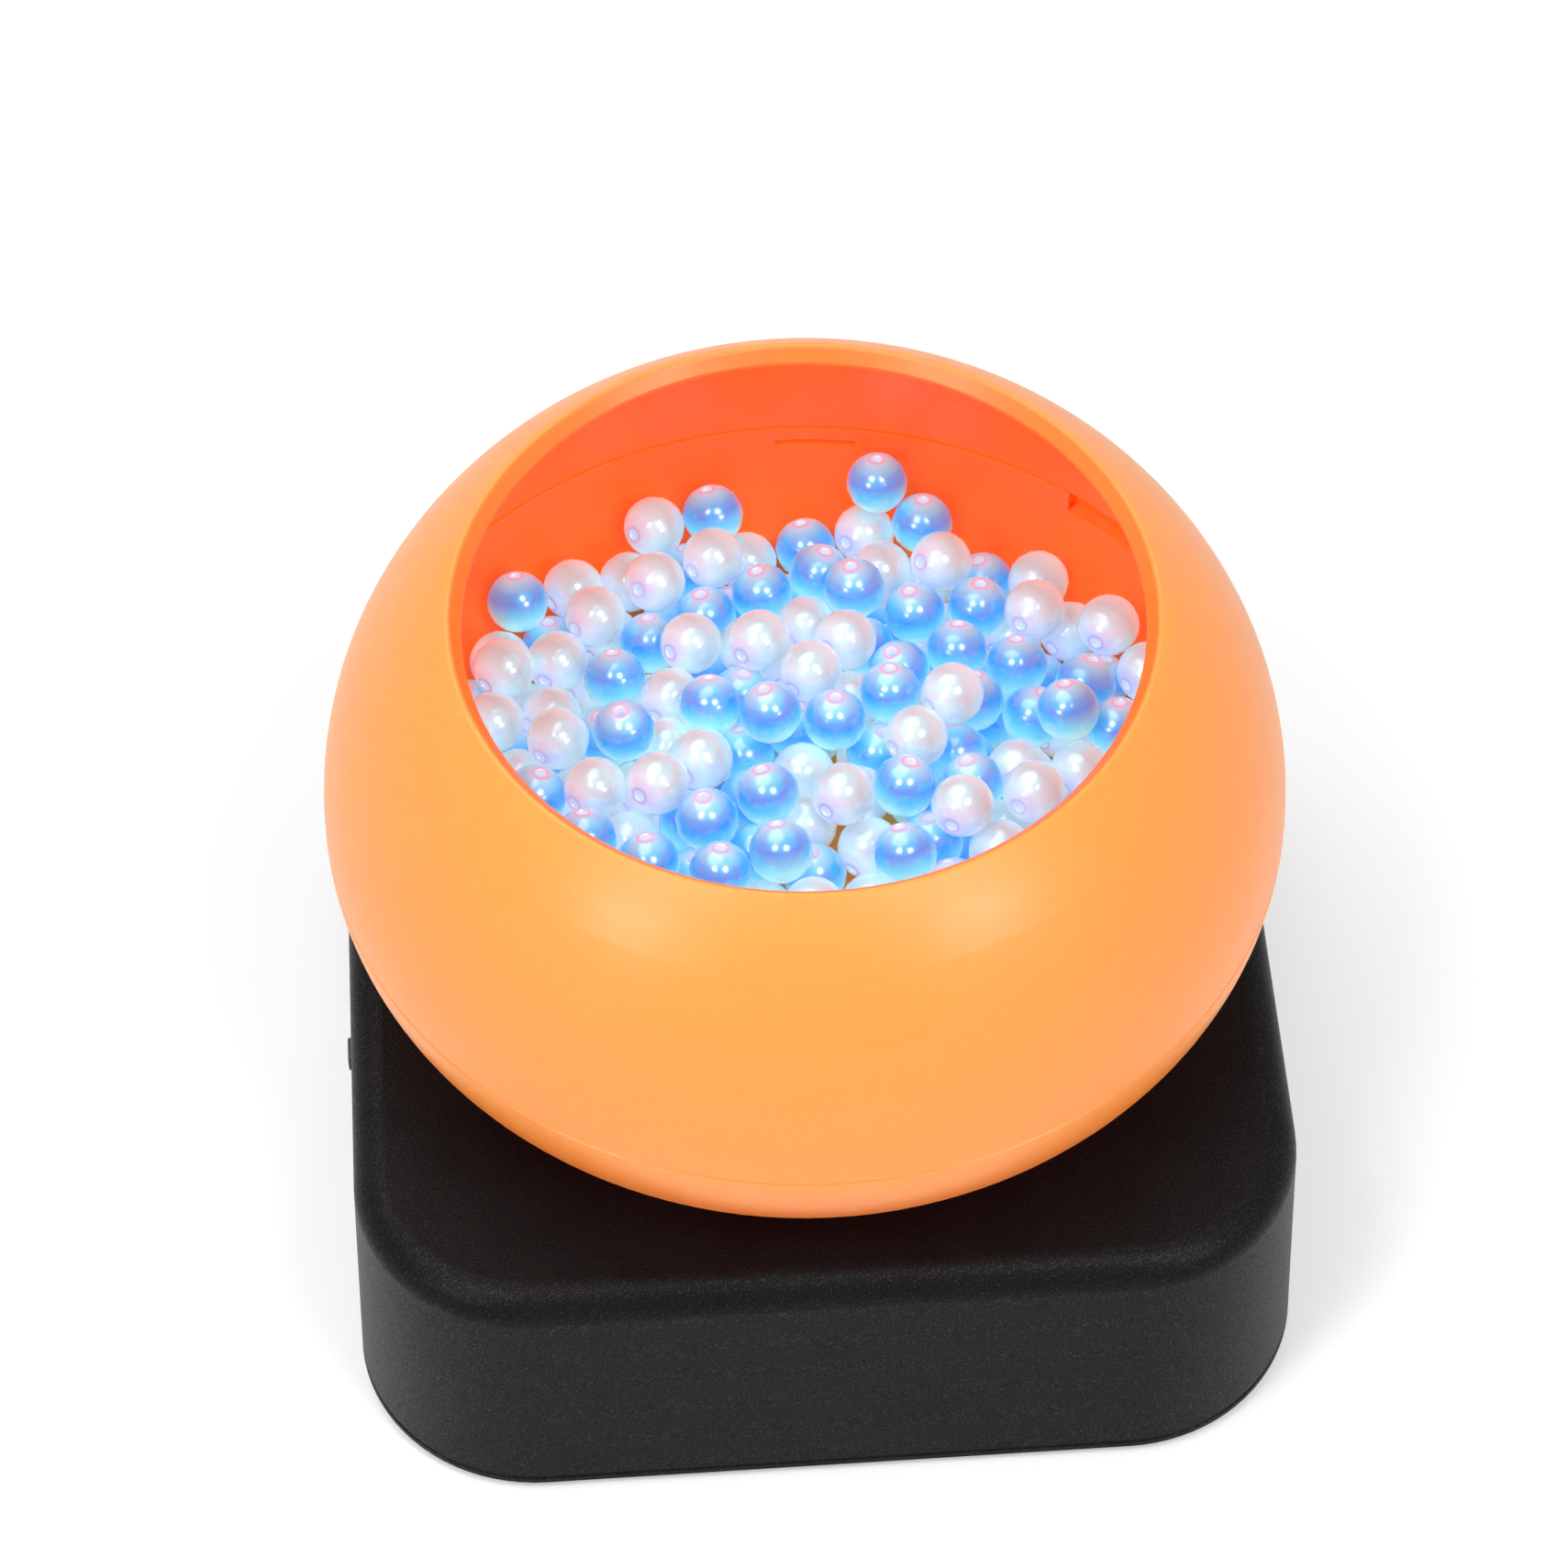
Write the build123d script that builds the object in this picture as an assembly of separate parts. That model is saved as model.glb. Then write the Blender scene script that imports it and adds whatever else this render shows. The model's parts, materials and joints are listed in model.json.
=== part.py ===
from build123d import *
import math
import os

# An electric bead spinner: a black square base with a geared motor inside, and a
# two-piece bowl that stands on the driven hub. Millimetres and degrees.
# Z is up from the table, the front looks along -Y, and the spindle is the Z axis.

# Base shell
base_corner = 23.0
base_draft = 2.2
base_top_round = 4.2
base_wall = 2.4
base_ceiling = 2.6
cavity_top_round = 2.0
parting_bevel = 0.3
rib_count = 6
rib_thickness = 1.4
rib_depth = 3.2
rib_end_gap = 10.0

# Feet
foot_radius = 5.5
foot_lift = 1.5
foot_sink = 0.8
foot_inset = 13.5
foot_round = 0.6
foot_clearance = 0.1

# Bottom cover
flange_thickness = 1.3
cover_thickness = 2.2
spigot_height = 3.0
spigot_thickness = 1.6
spigot_clearance = 0.15
cover_post_radius = 4.2
cover_post_height = 4.0
head_cover_floor = 3.0
boss_radius = 3.4
boss_side_inset = 10.5
boss_box_gap = 6.05
vent_length = 16.0
vent_width = 1.6
vent_pitch = 4.2
vent_count = 5

# Screws: shank radius, head radius, head height, shank length
screw_clearance = 0.05
head_clearance = 0.25
case_screw = (1.5, 2.8, 1.9, 11.0)
chassis_screw = (1.3, 2.4, 1.5, 8.0)
small_screw = (1.0, 1.9, 1.2, 5.0)
motor_screw = (1.0, 1.9, 1.2, 4.2)
hub_screw_size = (1.5, 2.8, 1.9, 8.0)
recess_width_share = 0.3
recess_reach_share = 1.3
recess_depth_share = 0.55
pilot_spare = 1.0

# Battery box in the bottom cover
cell_radius = 7.25
cell_body_length = 49.2
cell_nub_radius = 2.75
cell_nub_length = 1.3
cell_round = 0.6
cell_gap = 0.45
cell_count = 3
cell_floor_gap = 0.4
spring_room = 4.2
plus_room = 0.8
box_wall = 2.2
box_roof = 1.6
box_spindle_gap = 6.7
box_side_gap = 1.2
contact_thickness = 0.4
contact_width = 11.0
contact_height = 11.0
contact_leaf_width = 5.0
contact_tail_width = 2.4
contact_tail_rise = 1.6

# Battery door
door_thickness = 1.8
door_ledge = 1.2
door_clearance = 0.2
door_corner = 2.5
door_ear_radius = 4.4
door_ear_offset = 6.4
door_tab_width = 8.0
door_tab_thickness = 1.2
door_tab_reach = 1.5
door_grip_count = 4
door_grip_width = 1.2
door_grip_pitch = 3.0
door_grip_length = 18.0
door_grip_depth = 0.5

# Gears
gear_module = 0.8
gear_pressure_angle = 25.0
gear_backlash = 0.08
pinion_teeth = 12
wheel_teeth = 60
root_gap_share = 0.25
gear_face_width = 4.0
pinion_face_width = 5.6
flank_steps = 3
wheel_web_thickness = 2.0
wheel_rim_thickness = 2.2
wheel_hub_radius = 6.2
wheel_hub_extra = 1.6
wheel_hole_radius = 5.0
wheel_hole_ring = 13.5
wheel_hole_count = 6

# Chassis under the gears
chassis_box_gap = 1.3
chassis_thickness = 2.5
chassis_corner = 5.0
chassis_motor_reach = 7.2
chassis_motor_spread = 9.8
chassis_gear_reach = 7.2
chassis_gear_angle = 40.0
chassis_boss_radius = 3.8
chassis_rim_height = 2.0
chassis_rim_thickness = 1.4
chassis_pad_rise = 1.2
lower_boss_radius = 6.8
lower_boss_height = 1.4
gear_plate_gap = 2.5
gear_roof_gap = 0.8

# Motor
motor_radius = 12.2
motor_length = 12.3
motor_round = 1.0
motor_nose_radius = 3.0
motor_nose_height = 1.2
motor_cap_thickness = 2.0
motor_cap_inset = 0.6
motor_screw_spacing = 17.0
motor_shaft_radius = 1.0
motor_shaft_clearance = 0.04
motor_nose_clearance = 0.1
terminal_width = 2.2
terminal_thickness = 0.4
terminal_reach = 4.0
terminal_root = 2.0
terminal_spacing = 8.0

# Spindle and its bearings
spindle_radius = 3.0
running_clearance = 0.05
spindle_tail = 1.4
spindle_chamfer = 0.5
bush_radius = 4.8
bush_flange_radius = 5.5
bush_flange_thickness = 0.8
upper_boss_radius = 8.0
upper_boss_depth = 4.8
collar_radius = 13.0
collar_height = 0.7
washer_radius = 6.5
washer_thickness = 0.5
clip_radius = 5.0
clip_thickness = 0.8
clip_groove_depth = 0.5
clip_gap = 0.3
clip_opening = 4.0

# Drive hub and the socket under the bowl
hub_flange_radius = 19.0
hub_flange_thickness = 1.7
hub_across_flats = 16.0
hub_rise = 7.0
hub_web = 1.2
hub_bevel = 1.0
socket_clearance = 0.15
socket_headroom = 0.4
socket_wall = 2.4
dome_spread = 3.0
dome_round = 2.0
dome_foot_round = 4.0

# Bowl
bowl_radius = 59.6
lower_bowl_height = 21.1
upper_bowl_height = 34.6
lower_depth_axis = 36.4
lower_slope = 33.4
lower_wall = 2.8
floor_thickness = 2.6
upper_height_axis = 50.2
upper_slope = 38.0
upper_wall = 2.8
rim_inset = 17.1
rim_slope = 51.3
rim_round = 0.6
rim_inner_round = 0.4
seam_bevel = 0.25

# Twist lock between the two bowl pieces
lock_count = 3
skirt_inset = 1.6
skirt_thickness = 1.6
skirt_height = 3.2
skirt_clearance = 0.15
lock_slot_height = 1.1
lock_slot_depth = 1.0
lug_depth = 0.8
lug_height = 0.8
window_start = 0.0
window_end = 10.6
notch_start = 41.1
notch_end = 57.1
lug_sweep = 9.4

# Loose beads in the bowl
bead_radius = 4.0
bead_bore_radius = 0.7
bead_gap = 0.6
bead_clearance = 0.1
bead_layer_count = 2
bead_tumble = 67.0
bead_stagger_share = 0.38
bead_mix_share = 0.618
blue_share = 0.52

# Slide switch in the left wall
switch_y = -6.95
switch_height = 20.0
knob_length = 3.7
knob_height = 2.6
knob_proud = 0.7
knob_travel = 4.0
knob_side_clearance = 0.4
knob_round = 0.4
slot_corner = 0.8
thumb_recess_length = 13.0
thumb_recess_height = 7.0
thumb_recess_depth = 0.5
thumb_recess_corner = 2.0
switch_post_length = 1.6
switch_post_radius = 2.2
switch_plate_length = 23.0
switch_plate_height = 7.0
switch_plate_thickness = 0.6
switch_screw_spacing = 18.4
switch_body_length = 13.2
switch_body_depth = 5.6
slider_length = 6.4
slider_height = 4.0
slider_thickness = 2.0
slider_clearance = 0.3
switch_pin_length = 2.0
switch_pin_width = 1.0
switch_pin_pitch = 3.0

# Control board and power socket at the back
board_side_gap = 16.0
board_box_gap = 6.7
board_back_gap = 6.5
board_depth = 26.0
board_post_height = 10.3
board_thickness = 1.6
board_corner = 1.5
board_hole_inset = 3.6
board_post_radius = 2.8
socket_width = 9.0
socket_depth = 12.0
socket_body_height = 9.4
socket_wall_gap = 0.3
socket_bore_radius = 3.1
socket_bore_depth = 9.5
socket_pin_radius = 0.65
socket_pin_length = 7.5
socket_window_radius = 4.2
socket_dish_radius = 5.6
socket_dish_depth = 0.6
plug_length = 6.0
plug_width = 5.0
plug_height = 5.0
plug_box_gap = 3.55
capacitor_radius = 3.15
capacitor_height = 7.0
chip_length = 5.0
chip_width = 4.0
chip_height = 1.5
coil_size = 6.0
coil_height = 3.0

# Leads
lead_radius = 0.6
lead_pitch = 2.5
bend_share = 0.45
lead_bow = 2.0

overrun = 1.0

# Battery box and the base round it: the box lies beside the spindle, under the gears
cover_bottom = foot_lift
split_height = cover_bottom + flange_thickness
cover_floor = cover_bottom + cover_thickness
box_width = cell_count * 2 * cell_radius + (cell_count + 1) * cell_gap
box_length = cell_body_length + cell_nub_length + spring_room + plus_room
box_x = box_spindle_gap + box_wall + box_width / 2
box_right = box_x + box_width / 2 + box_wall
box_end = box_length / 2 + box_wall
base_width = 2 * (box_right + box_side_gap + base_wall)
cell_height = cover_bottom + door_thickness + cell_floor_gap + cell_radius
box_ceiling = cell_height + cell_radius + cell_floor_gap
box_top = box_ceiling + box_roof
door_ear_y = -(box_length / 2 + door_ear_offset)
boss_x = base_width / 2 - boss_side_inset
boss_y = box_end + boss_box_gap
foot_place = base_width / 2 - foot_inset
spigot_top = split_height + spigot_height
cover_post_top = cover_floor + cover_post_height

# Heights from the chassis up to the rim of the bowl
chassis_bottom = box_top + chassis_box_gap
chassis_top = chassis_bottom + chassis_thickness
chassis_pad_top = chassis_top + chassis_pad_rise
chassis_screw_seat = chassis_bottom + chassis_screw[2]
motor_bottom = chassis_bottom - motor_length
gear_bottom = chassis_top + gear_plate_gap
gear_top = gear_bottom + gear_face_width
ceiling = gear_top + wheel_hub_extra + gear_roof_gap + upper_boss_depth
base_top_height = ceiling + base_ceiling
collar_top = base_top_height + collar_height
upper_bush_top = collar_top + bush_flange_thickness
hub_bottom = upper_bush_top + washer_thickness
bowl_bottom = hub_bottom + hub_flange_thickness
hub_top = bowl_bottom + hub_rise
hub_screw_seat = hub_top - hub_screw_size[2] - head_clearance
spindle_top = hub_screw_seat - hub_web
clip_top = chassis_bottom - bush_flange_thickness - clip_gap
spindle_bottom = clip_top - clip_thickness - spindle_tail
bowl_equator = bowl_bottom + lower_bowl_height
rim_height = bowl_equator + upper_bowl_height

# Radii and places
wheel_radius = gear_module * wheel_teeth / 2
pinion_radius = gear_module * pinion_teeth / 2
motor_x = -(wheel_radius + pinion_radius)
rim_radius = bowl_radius - rim_inset
skirt_outer_radius = bowl_radius - skirt_inset
skirt_inner_radius = skirt_outer_radius - skirt_thickness
board_left = board_side_gap - base_width / 2
board_right = box_spindle_gap - board_box_gap
board_back = base_width / 2 - board_back_gap
board_front = board_back - board_depth
board_bottom = cover_floor + board_post_height
board_top = board_bottom + board_thickness
socket_x = (board_left + board_right) / 2

STANDING = (Align.CENTER, Align.CENTER, Align.MIN)


def narrowing(height):
    """How far each side of the base has drawn in at a height, by its draft."""
    return math.tan(math.radians(base_draft)) * (height - cover_bottom)


def rod(radius, bottom, top, at=(0, 0)):
    """Upright round bar between two heights."""
    return Pos(at[0], at[1], bottom) * Cylinder(radius, top - bottom, align=STANDING)


def sleeve(outer, inner, bottom, top, at=(0, 0)):
    """Upright tube between two heights."""
    return rod(outer, bottom, top, at) - rod(inner, bottom - overrun, top + overrun, at)


def block(low, high):
    """Square-edged block between two opposite corners."""
    size = [b - a for a, b in zip(low, high)]
    middle = [(a + b) / 2 for a, b in zip(low, high)]
    return Pos(*middle) * Box(*size)


def slab(width, depth, corner, bottom, top, at=(0, 0)):
    """Flat plate with rounded corners."""
    outline = Pos(at[0], at[1], bottom) * RectangleRounded(width, depth, corner)
    return extrude(outline, amount=top - bottom)


def shaft_x(radius, left, right, at):
    """Round bar along X at a (y, z) place."""
    bar = Cylinder(radius, right - left)
    return Pos((left + right) / 2, at[0], at[1]) * Rot(0, 90, 0) * bar


def shaft_y(radius, front, back, at):
    """Round bar along Y at an (x, z) place."""
    bar = Cylinder(radius, back - front)
    return Pos(at[0], (front + back) / 2, at[1]) * Rot(90, 0, 0) * bar


def slot_x(length, height, corner, left, right, at):
    """Rounded opening that runs along X at a (y, z) place."""
    outline = Plane.YZ.offset(left) * Pos(at[0], at[1]) * RectangleRounded(length, height, corner)
    return extrude(outline, amount=right - left)


def base_block(inset, bottom, top):
    """Rounded square block that follows the drafted sides of the base."""
    width = base_width - 2 * (narrowing(bottom) + inset)
    corner = base_corner - narrowing(bottom) - inset
    outline = Pos(0, 0, bottom) * RectangleRounded(width, width, corner)
    return extrude(outline, amount=top - bottom, taper=base_draft)


def corners(x, y):
    """The four places that mirror one another about the spindle."""
    return [(x, y), (-x, y), (-x, -y), (x, -y)]


def screw(size):
    """Pan-head screw with a cross recess, head up, its seat at the origin."""
    shank_radius, head_radius, head_height, length = size
    body = rod(head_radius, 0, head_height)
    body = fillet(body.edges().sort_by(Axis.Z)[-1], head_height / 2)
    body += rod(shank_radius, -length, overrun / 2)
    arm = recess_reach_share * head_radius
    width = recess_width_share * head_radius
    depth = recess_depth_share * head_height
    body -= block((-arm / 2, -width / 2, head_height - depth), (arm / 2, width / 2, head_height))
    body -= block((-width / 2, -arm / 2, head_height - depth), (width / 2, arm / 2, head_height))
    return body


def pilot(size, seat, depth_from_seat, at, downwards):
    """Hole for a screw shank, from its seat in the direction it is driven."""
    radius = size[0] + screw_clearance
    if downwards:
        return rod(radius, seat - depth_from_seat, seat + overrun, at)
    return rod(radius, seat - overrun, seat + depth_from_seat, at)


def sector(inner, outer, bottom, top, start, end):
    """Part of a ring between two angles, counted clockwise from the back."""
    middle = Pos((inner + outer) / 2, (bottom + top) / 2)
    section = Plane.XZ * middle * Rectangle(outer - inner, top - bottom)
    turned = revolve(section, Axis.Z, revolution_arc=end - start)
    return Rot(0, 0, 90 - end) * turned


def around(shape, count):
    """Copies of a shape, evenly spaced about the spindle."""
    return [Rot(0, 0, 360 * i / count) * shape for i in range(count)]


# Base


def base_housing():
    """Black moulded top shell with its bosses, ribs and wall openings."""
    shell = base_block(0, split_height, base_top_height)
    shell = fillet(shell.faces().sort_by(Axis.Z)[-1].edges(), base_top_round)
    shell = chamfer(shell.faces().sort_by(Axis.Z)[0].edges(), parting_bevel)
    cavity = base_block(base_wall, split_height - overrun, ceiling)
    cavity = fillet(cavity.faces().sort_by(Axis.Z)[-1].edges(), cavity_top_round)
    shell -= cavity
    anchored = ceiling + base_ceiling / 2
    reach = base_width / 2 - rib_end_gap
    rib = block((0, -rib_thickness / 2, ceiling - rib_depth), (reach, rib_thickness / 2, anchored))
    shell += around(rib, rib_count)
    shell += rod(upper_boss_radius, ceiling - upper_boss_depth, anchored)
    shell += rod(collar_radius, anchored, collar_top)
    shell -= rod(bush_radius, ceiling - upper_boss_depth - overrun, collar_top + overrun)
    for at in corners(boss_x, boss_y):
        shell += rod(boss_radius, cover_post_top, anchored, at)
        shell -= pilot(case_screw, cover_post_top, case_screw[3], at, False)
    for at in chassis_places():
        shell += rod(chassis_boss_radius, chassis_pad_top, anchored, at)
        shell -= pilot(chassis_screw, chassis_pad_top, chassis_screw[3], at, False)
    return shell + switch_posts() - switch_openings() - socket_openings()


def switch_wall(height):
    """X of the left wall's outer face at a height."""
    return -(base_width / 2 - narrowing(height))


def switch_seat():
    """X of the plane that the switch plate is screwed against."""
    return switch_wall(switch_height) + base_wall + switch_post_length


def switch_posts():
    """Two short posts inside the left wall that carry the switch."""
    left = switch_wall(switch_height) + base_wall / 2
    places = [switch_y - switch_screw_spacing / 2, switch_y + switch_screw_spacing / 2]
    posts = [shaft_x(switch_post_radius, left, switch_seat(), (y, switch_height)) for y in places]
    return posts[0] + posts[1]


def switch_openings():
    """Thumb recess, knob slot and the blind screw holes of the switch."""
    wall = switch_wall(switch_height)
    at = (switch_y, switch_height)
    reach = knob_length + knob_travel + 2 * knob_side_clearance
    tall = knob_height + 2 * knob_side_clearance
    cut = slot_x(reach, tall, slot_corner, wall - overrun, wall + base_wall + overrun, at)
    cut += slot_x(
        thumb_recess_length, thumb_recess_height, thumb_recess_corner,
        wall - overrun, wall + thumb_recess_depth, at,
    )
    radius = small_screw[0] + screw_clearance
    blind = wall + base_wall / 2
    for side in (-1, 1):
        place = (switch_y + side * switch_screw_spacing / 2, switch_height)
        cut += shaft_x(radius, blind, switch_seat() + overrun, place)
    return cut


def socket_height():
    """Height of the power socket's axis."""
    return board_top + socket_body_height / 2


def back_wall(height):
    """Y of the back wall's outer face at a height."""
    return base_width / 2 - narrowing(height)


def socket_openings():
    """Round window and shallow dish in the back wall for the power plug."""
    wall = back_wall(socket_height())
    at = (socket_x, socket_height())
    window = shaft_y(socket_window_radius, wall - base_wall - overrun, wall + overrun, at)
    return window + shaft_y(socket_dish_radius, wall - socket_dish_depth, wall + overrun, at)


def bottom_cover():
    """Underside plate with the battery box, posts and foot recesses."""
    flange = base_block(0, cover_bottom, split_height)
    flange = chamfer(flange.faces().sort_by(Axis.Z)[-1].edges(), parting_bevel)
    flange = fillet(flange.faces().sort_by(Axis.Z)[0].edges(), parting_bevel)
    inset = base_wall + spigot_clearance
    cover = flange + base_block(inset, cover_floor - cover_thickness / 2, spigot_top)
    cover -= base_block(inset + spigot_thickness, cover_floor, spigot_top + overrun)
    low = (box_spindle_gap, -box_end, cover_bottom + door_thickness)
    cover += block(low, (box_right, box_end, box_top))
    for at in corners(boss_x, boss_y):
        cover += rod(cover_post_radius, cover_floor - cover_thickness / 2, cover_post_top, at)
        seat = cover_post_top - head_cover_floor
        cover -= pilot(case_screw, seat, head_cover_floor + overrun, at, False)
        cover -= rod(case_screw[1] + head_clearance, cover_bottom - overrun, seat, at)
    for at in board_places():
        cover += rod(board_post_radius, cover_floor - cover_thickness / 2, board_bottom, at)
        cover -= pilot(small_screw, board_bottom, small_screw[3] + pilot_spare, at, True)
    ear_top = cover_bottom + door_thickness + small_screw[3] + pilot_spare
    ear_at = (box_x, door_ear_y)
    cover += rod(door_ear_radius, cover_floor - cover_thickness / 2, ear_top, ear_at)
    for at in corners(foot_place, foot_place):
        radius = foot_radius + foot_clearance
        cover -= rod(radius, cover_bottom - overrun, cover_bottom + foot_sink, at)
    return cover - battery_openings() - vents()


def vents():
    """Row of cooling slots under the motor."""
    cut = Part()
    first = -(vent_count - 1) / 2
    for i in range(vent_count):
        at = (motor_x + (first + i) * vent_pitch, 0)
        corner = vent_width / 2 - vent_width / 100
        cut += slab(vent_width, vent_length, corner, cover_bottom - overrun, cover_floor + overrun, at)
    return cut


def door_outline(grow):
    """Plan of the battery door, grown by the clearance for its recess."""
    wide = box_width + 2 * (door_ledge - door_clearance + grow)
    long = box_length + 2 * (door_ledge - door_clearance + grow)
    plan = Pos(box_x, 0) * RectangleRounded(wide, long, door_corner)
    ear_radius = door_ear_radius - door_clearance + grow - door_ledge
    neck = Pos(box_x, door_ear_y / 2) * Rectangle(2 * ear_radius, -door_ear_y)
    return plan + neck + Pos(box_x, door_ear_y) * Circle(ear_radius)


def battery_openings():
    """Hollow of the battery box, the door's recess and its tab and screw holes."""
    low = (box_x - box_width / 2, -box_length / 2, cover_bottom - overrun)
    cut = block(low, (box_x + box_width / 2, box_length / 2, box_ceiling))
    recess = extrude(Pos(0, 0, cover_bottom - overrun) * door_outline(door_clearance),
                     amount=overrun + door_thickness)
    cut += recess
    door_top = cover_bottom + door_thickness
    cut += pilot(small_screw, door_top, small_screw[3], (box_x, door_ear_y), False)
    for x in door_tab_places():
        wide = door_tab_width / 2 + door_clearance
        cut += block(
            (x - wide, box_length / 2 - overrun, door_top - overrun),
            (x + wide, box_length / 2 + door_ledge, door_top + door_tab_thickness + door_clearance),
        )
        cut += block(
            (x - wide, box_length / 2 - overrun, door_top),
            (x + wide, box_length / 2 + door_tab_reach + door_clearance,
             door_top + door_tab_thickness + door_clearance),
        )
    for place in contact_places():
        if place["tail"]:
            wide = contact_tail_width / 2 + door_clearance
            y = place["side"] * (box_length / 2 - contact_thickness / 2)
            deep = contact_thickness / 2 + door_clearance
            cut += block((place["x"] - wide, y - deep, box_ceiling - overrun),
                         (place["x"] + wide, y + deep, box_top + overrun))
    return cut


def door_tab_places():
    """X of the two tabs that hold the door's back edge."""
    return [box_x - box_width / 4, box_x + box_width / 4]


def battery_door():
    """Flush cover of the battery box with two tabs, a screw ear and grip lines."""
    door_top = cover_bottom + door_thickness
    door = extrude(Pos(0, 0, cover_bottom) * door_outline(0), amount=door_thickness)
    for x in door_tab_places():
        wide = door_tab_width / 2
        root = plus_room + cell_nub_length - door_clearance
        door += block(
            (x - wide, box_length / 2 - root, door_top),
            (x + wide, box_length / 2 + door_tab_reach, door_top + door_tab_thickness),
        )
    for i in range(door_grip_count):
        y = door_grip_pitch * (i - (door_grip_count - 1) / 2) + box_length / 3
        door -= slab(
            door_grip_length, door_grip_width, door_grip_width / 3,
            cover_bottom - overrun, cover_bottom + door_grip_depth, (box_x, y),
        )
    ear_at = (box_x, door_ear_y)
    seat = cover_bottom + small_screw[2]
    door -= pilot(small_screw, seat, door_thickness, ear_at, False)
    door -= rod(small_screw[1] + head_clearance, cover_bottom - overrun, seat, ear_at)
    return door


def rubber_feet():
    """Four round pads in the underside."""
    pad = rod(foot_radius, 0, foot_lift + foot_sink)
    pad = fillet(pad.edges().sort_by(Axis.Z)[0], foot_round)
    return [Pos(x, y, 0) * pad for x, y in corners(foot_place, foot_place)]


def cover_screws():
    """Four screws that join the cover to the housing, driven from below."""
    seat = cover_post_top - head_cover_floor
    driven_up = Rot(180, 0, 0) * screw(case_screw)
    return [Pos(x, y, seat) * driven_up for x, y in corners(boss_x, boss_y)]


def battery_door_screw():
    """The screw in the battery door's ear."""
    seat = cover_bottom + small_screw[2]
    return Pos(box_x, door_ear_y, seat) * Rot(180, 0, 0) * screw(small_screw)


# Batteries


def cell_places():
    """X and pole direction of each cell; neighbours lie opposite ways round."""
    pitch = 2 * cell_radius + cell_gap
    middle = (cell_count - 1) / 2
    return [(box_x + (i - middle) * pitch, -1 if i % 2 else 1) for i in range(cell_count)]


def battery_cells():
    """Three cells side by side in series."""
    cells = []
    for x, pole in cell_places():
        nose = pole * (box_length / 2 - plus_room)
        neck = nose - pole * cell_nub_length
        tail = neck - pole * cell_body_length
        body = shaft_y(cell_radius, min(neck, tail), max(neck, tail), (x, cell_height))
        body = fillet(body.edges().filter_by(GeomType.CIRCLE), cell_round)
        nub = shaft_y(cell_nub_radius, min(nose, neck - pole * cell_round),
                      max(nose, neck - pole * cell_round), (x, cell_height))
        cells.append(body + nub)
    return cells


def contact_places():
    """One contact at each end of each cell; only the two outer poles have tails."""
    places = []
    last = cell_count - 1
    for i, (x, pole) in enumerate(cell_places()):
        for side in (-1, 1):
            tail = (i == 0 and side == pole) or (i == last and side == -pole)
            places.append({"x": x, "side": side, "plus": side == pole, "tail": tail, "cell": i})
    return places


def contact(place):
    """Nickel strip with a leaf for the minus pole or a flat pad for the plus pole."""
    end = place["side"] * box_length / 2
    face = end - place["side"] * contact_thickness
    low, high = sorted((end, face))
    wide = contact_width / 2
    tall = contact_height / 2
    x = place["x"]
    strip = block((x - wide, low, cell_height - tall), (x + wide, high, cell_height + tall))
    room = plus_room if place["plus"] else spring_room
    tip = end - place["side"] * (room if place["plus"] else room - contact_thickness)
    low, high = sorted((face, tip))
    if place["plus"]:
        strip += shaft_y(cell_nub_radius, low, high, (x, cell_height))
    else:
        bow = ThreePointArc((face, cell_height - tall), (tip, cell_height), (face, cell_height + tall))
        leaf = Plane.YZ * trace(bow, contact_thickness)
        strip += extrude(Pos(x, 0, 0) * leaf, amount=contact_leaf_width / 2, both=True)
    if place["tail"]:
        half = contact_tail_width / 2
        low, high = sorted((end, face))
        strip += block((x - half, low, cell_height), (x + half, high, box_top + contact_tail_rise))
    return strip


def battery_contacts():
    """Strips at both ends of the box; neighbouring poles share a bridge."""
    places = contact_places()
    strips = []
    used = set()
    for i, place in enumerate(places):
        if i in used:
            continue
        strip = contact(place)
        for j in range(i + 1, len(places)):
            other = places[j]
            opposite = other["side"] == place["side"] and other["cell"] == place["cell"] + 1
            if opposite and not place["tail"] and not other["tail"] and j not in used:
                strip += contact(other) + contact_bridge(place, other)
                used.add(j)
        strips.append(strip)
    return strips


def contact_bridge(place, other):
    """Flat link between two neighbouring strips."""
    end = place["side"] * box_length / 2
    low, high = sorted((end, end - place["side"] * contact_thickness))
    return block((place["x"], low, cell_height - contact_height / 4),
                 (other["x"], high, cell_height + contact_height / 4))


# Chassis, motor and gears


def chassis_places():
    """Where the chassis is screwed to the housing's bosses."""
    left_x = motor_x - chassis_motor_reach
    left_y = motor_radius + chassis_motor_spread
    reach = wheel_radius + chassis_gear_reach
    right_x = reach * math.cos(math.radians(chassis_gear_angle))
    right_y = reach * math.sin(math.radians(chassis_gear_angle))
    return [(left_x, left_y), (left_x, -left_y), (right_x, right_y), (right_x, -right_y)]


def chassis_plan(inset):
    """Outline of the chassis: a rounded four-sided plate round its screw places."""
    left, low_left, right, low_right = chassis_places()
    frame = make_face(Polyline(left, right, low_right, low_left, close=True))
    return offset(frame, chassis_corner - inset, kind=Kind.ARC)


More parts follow.
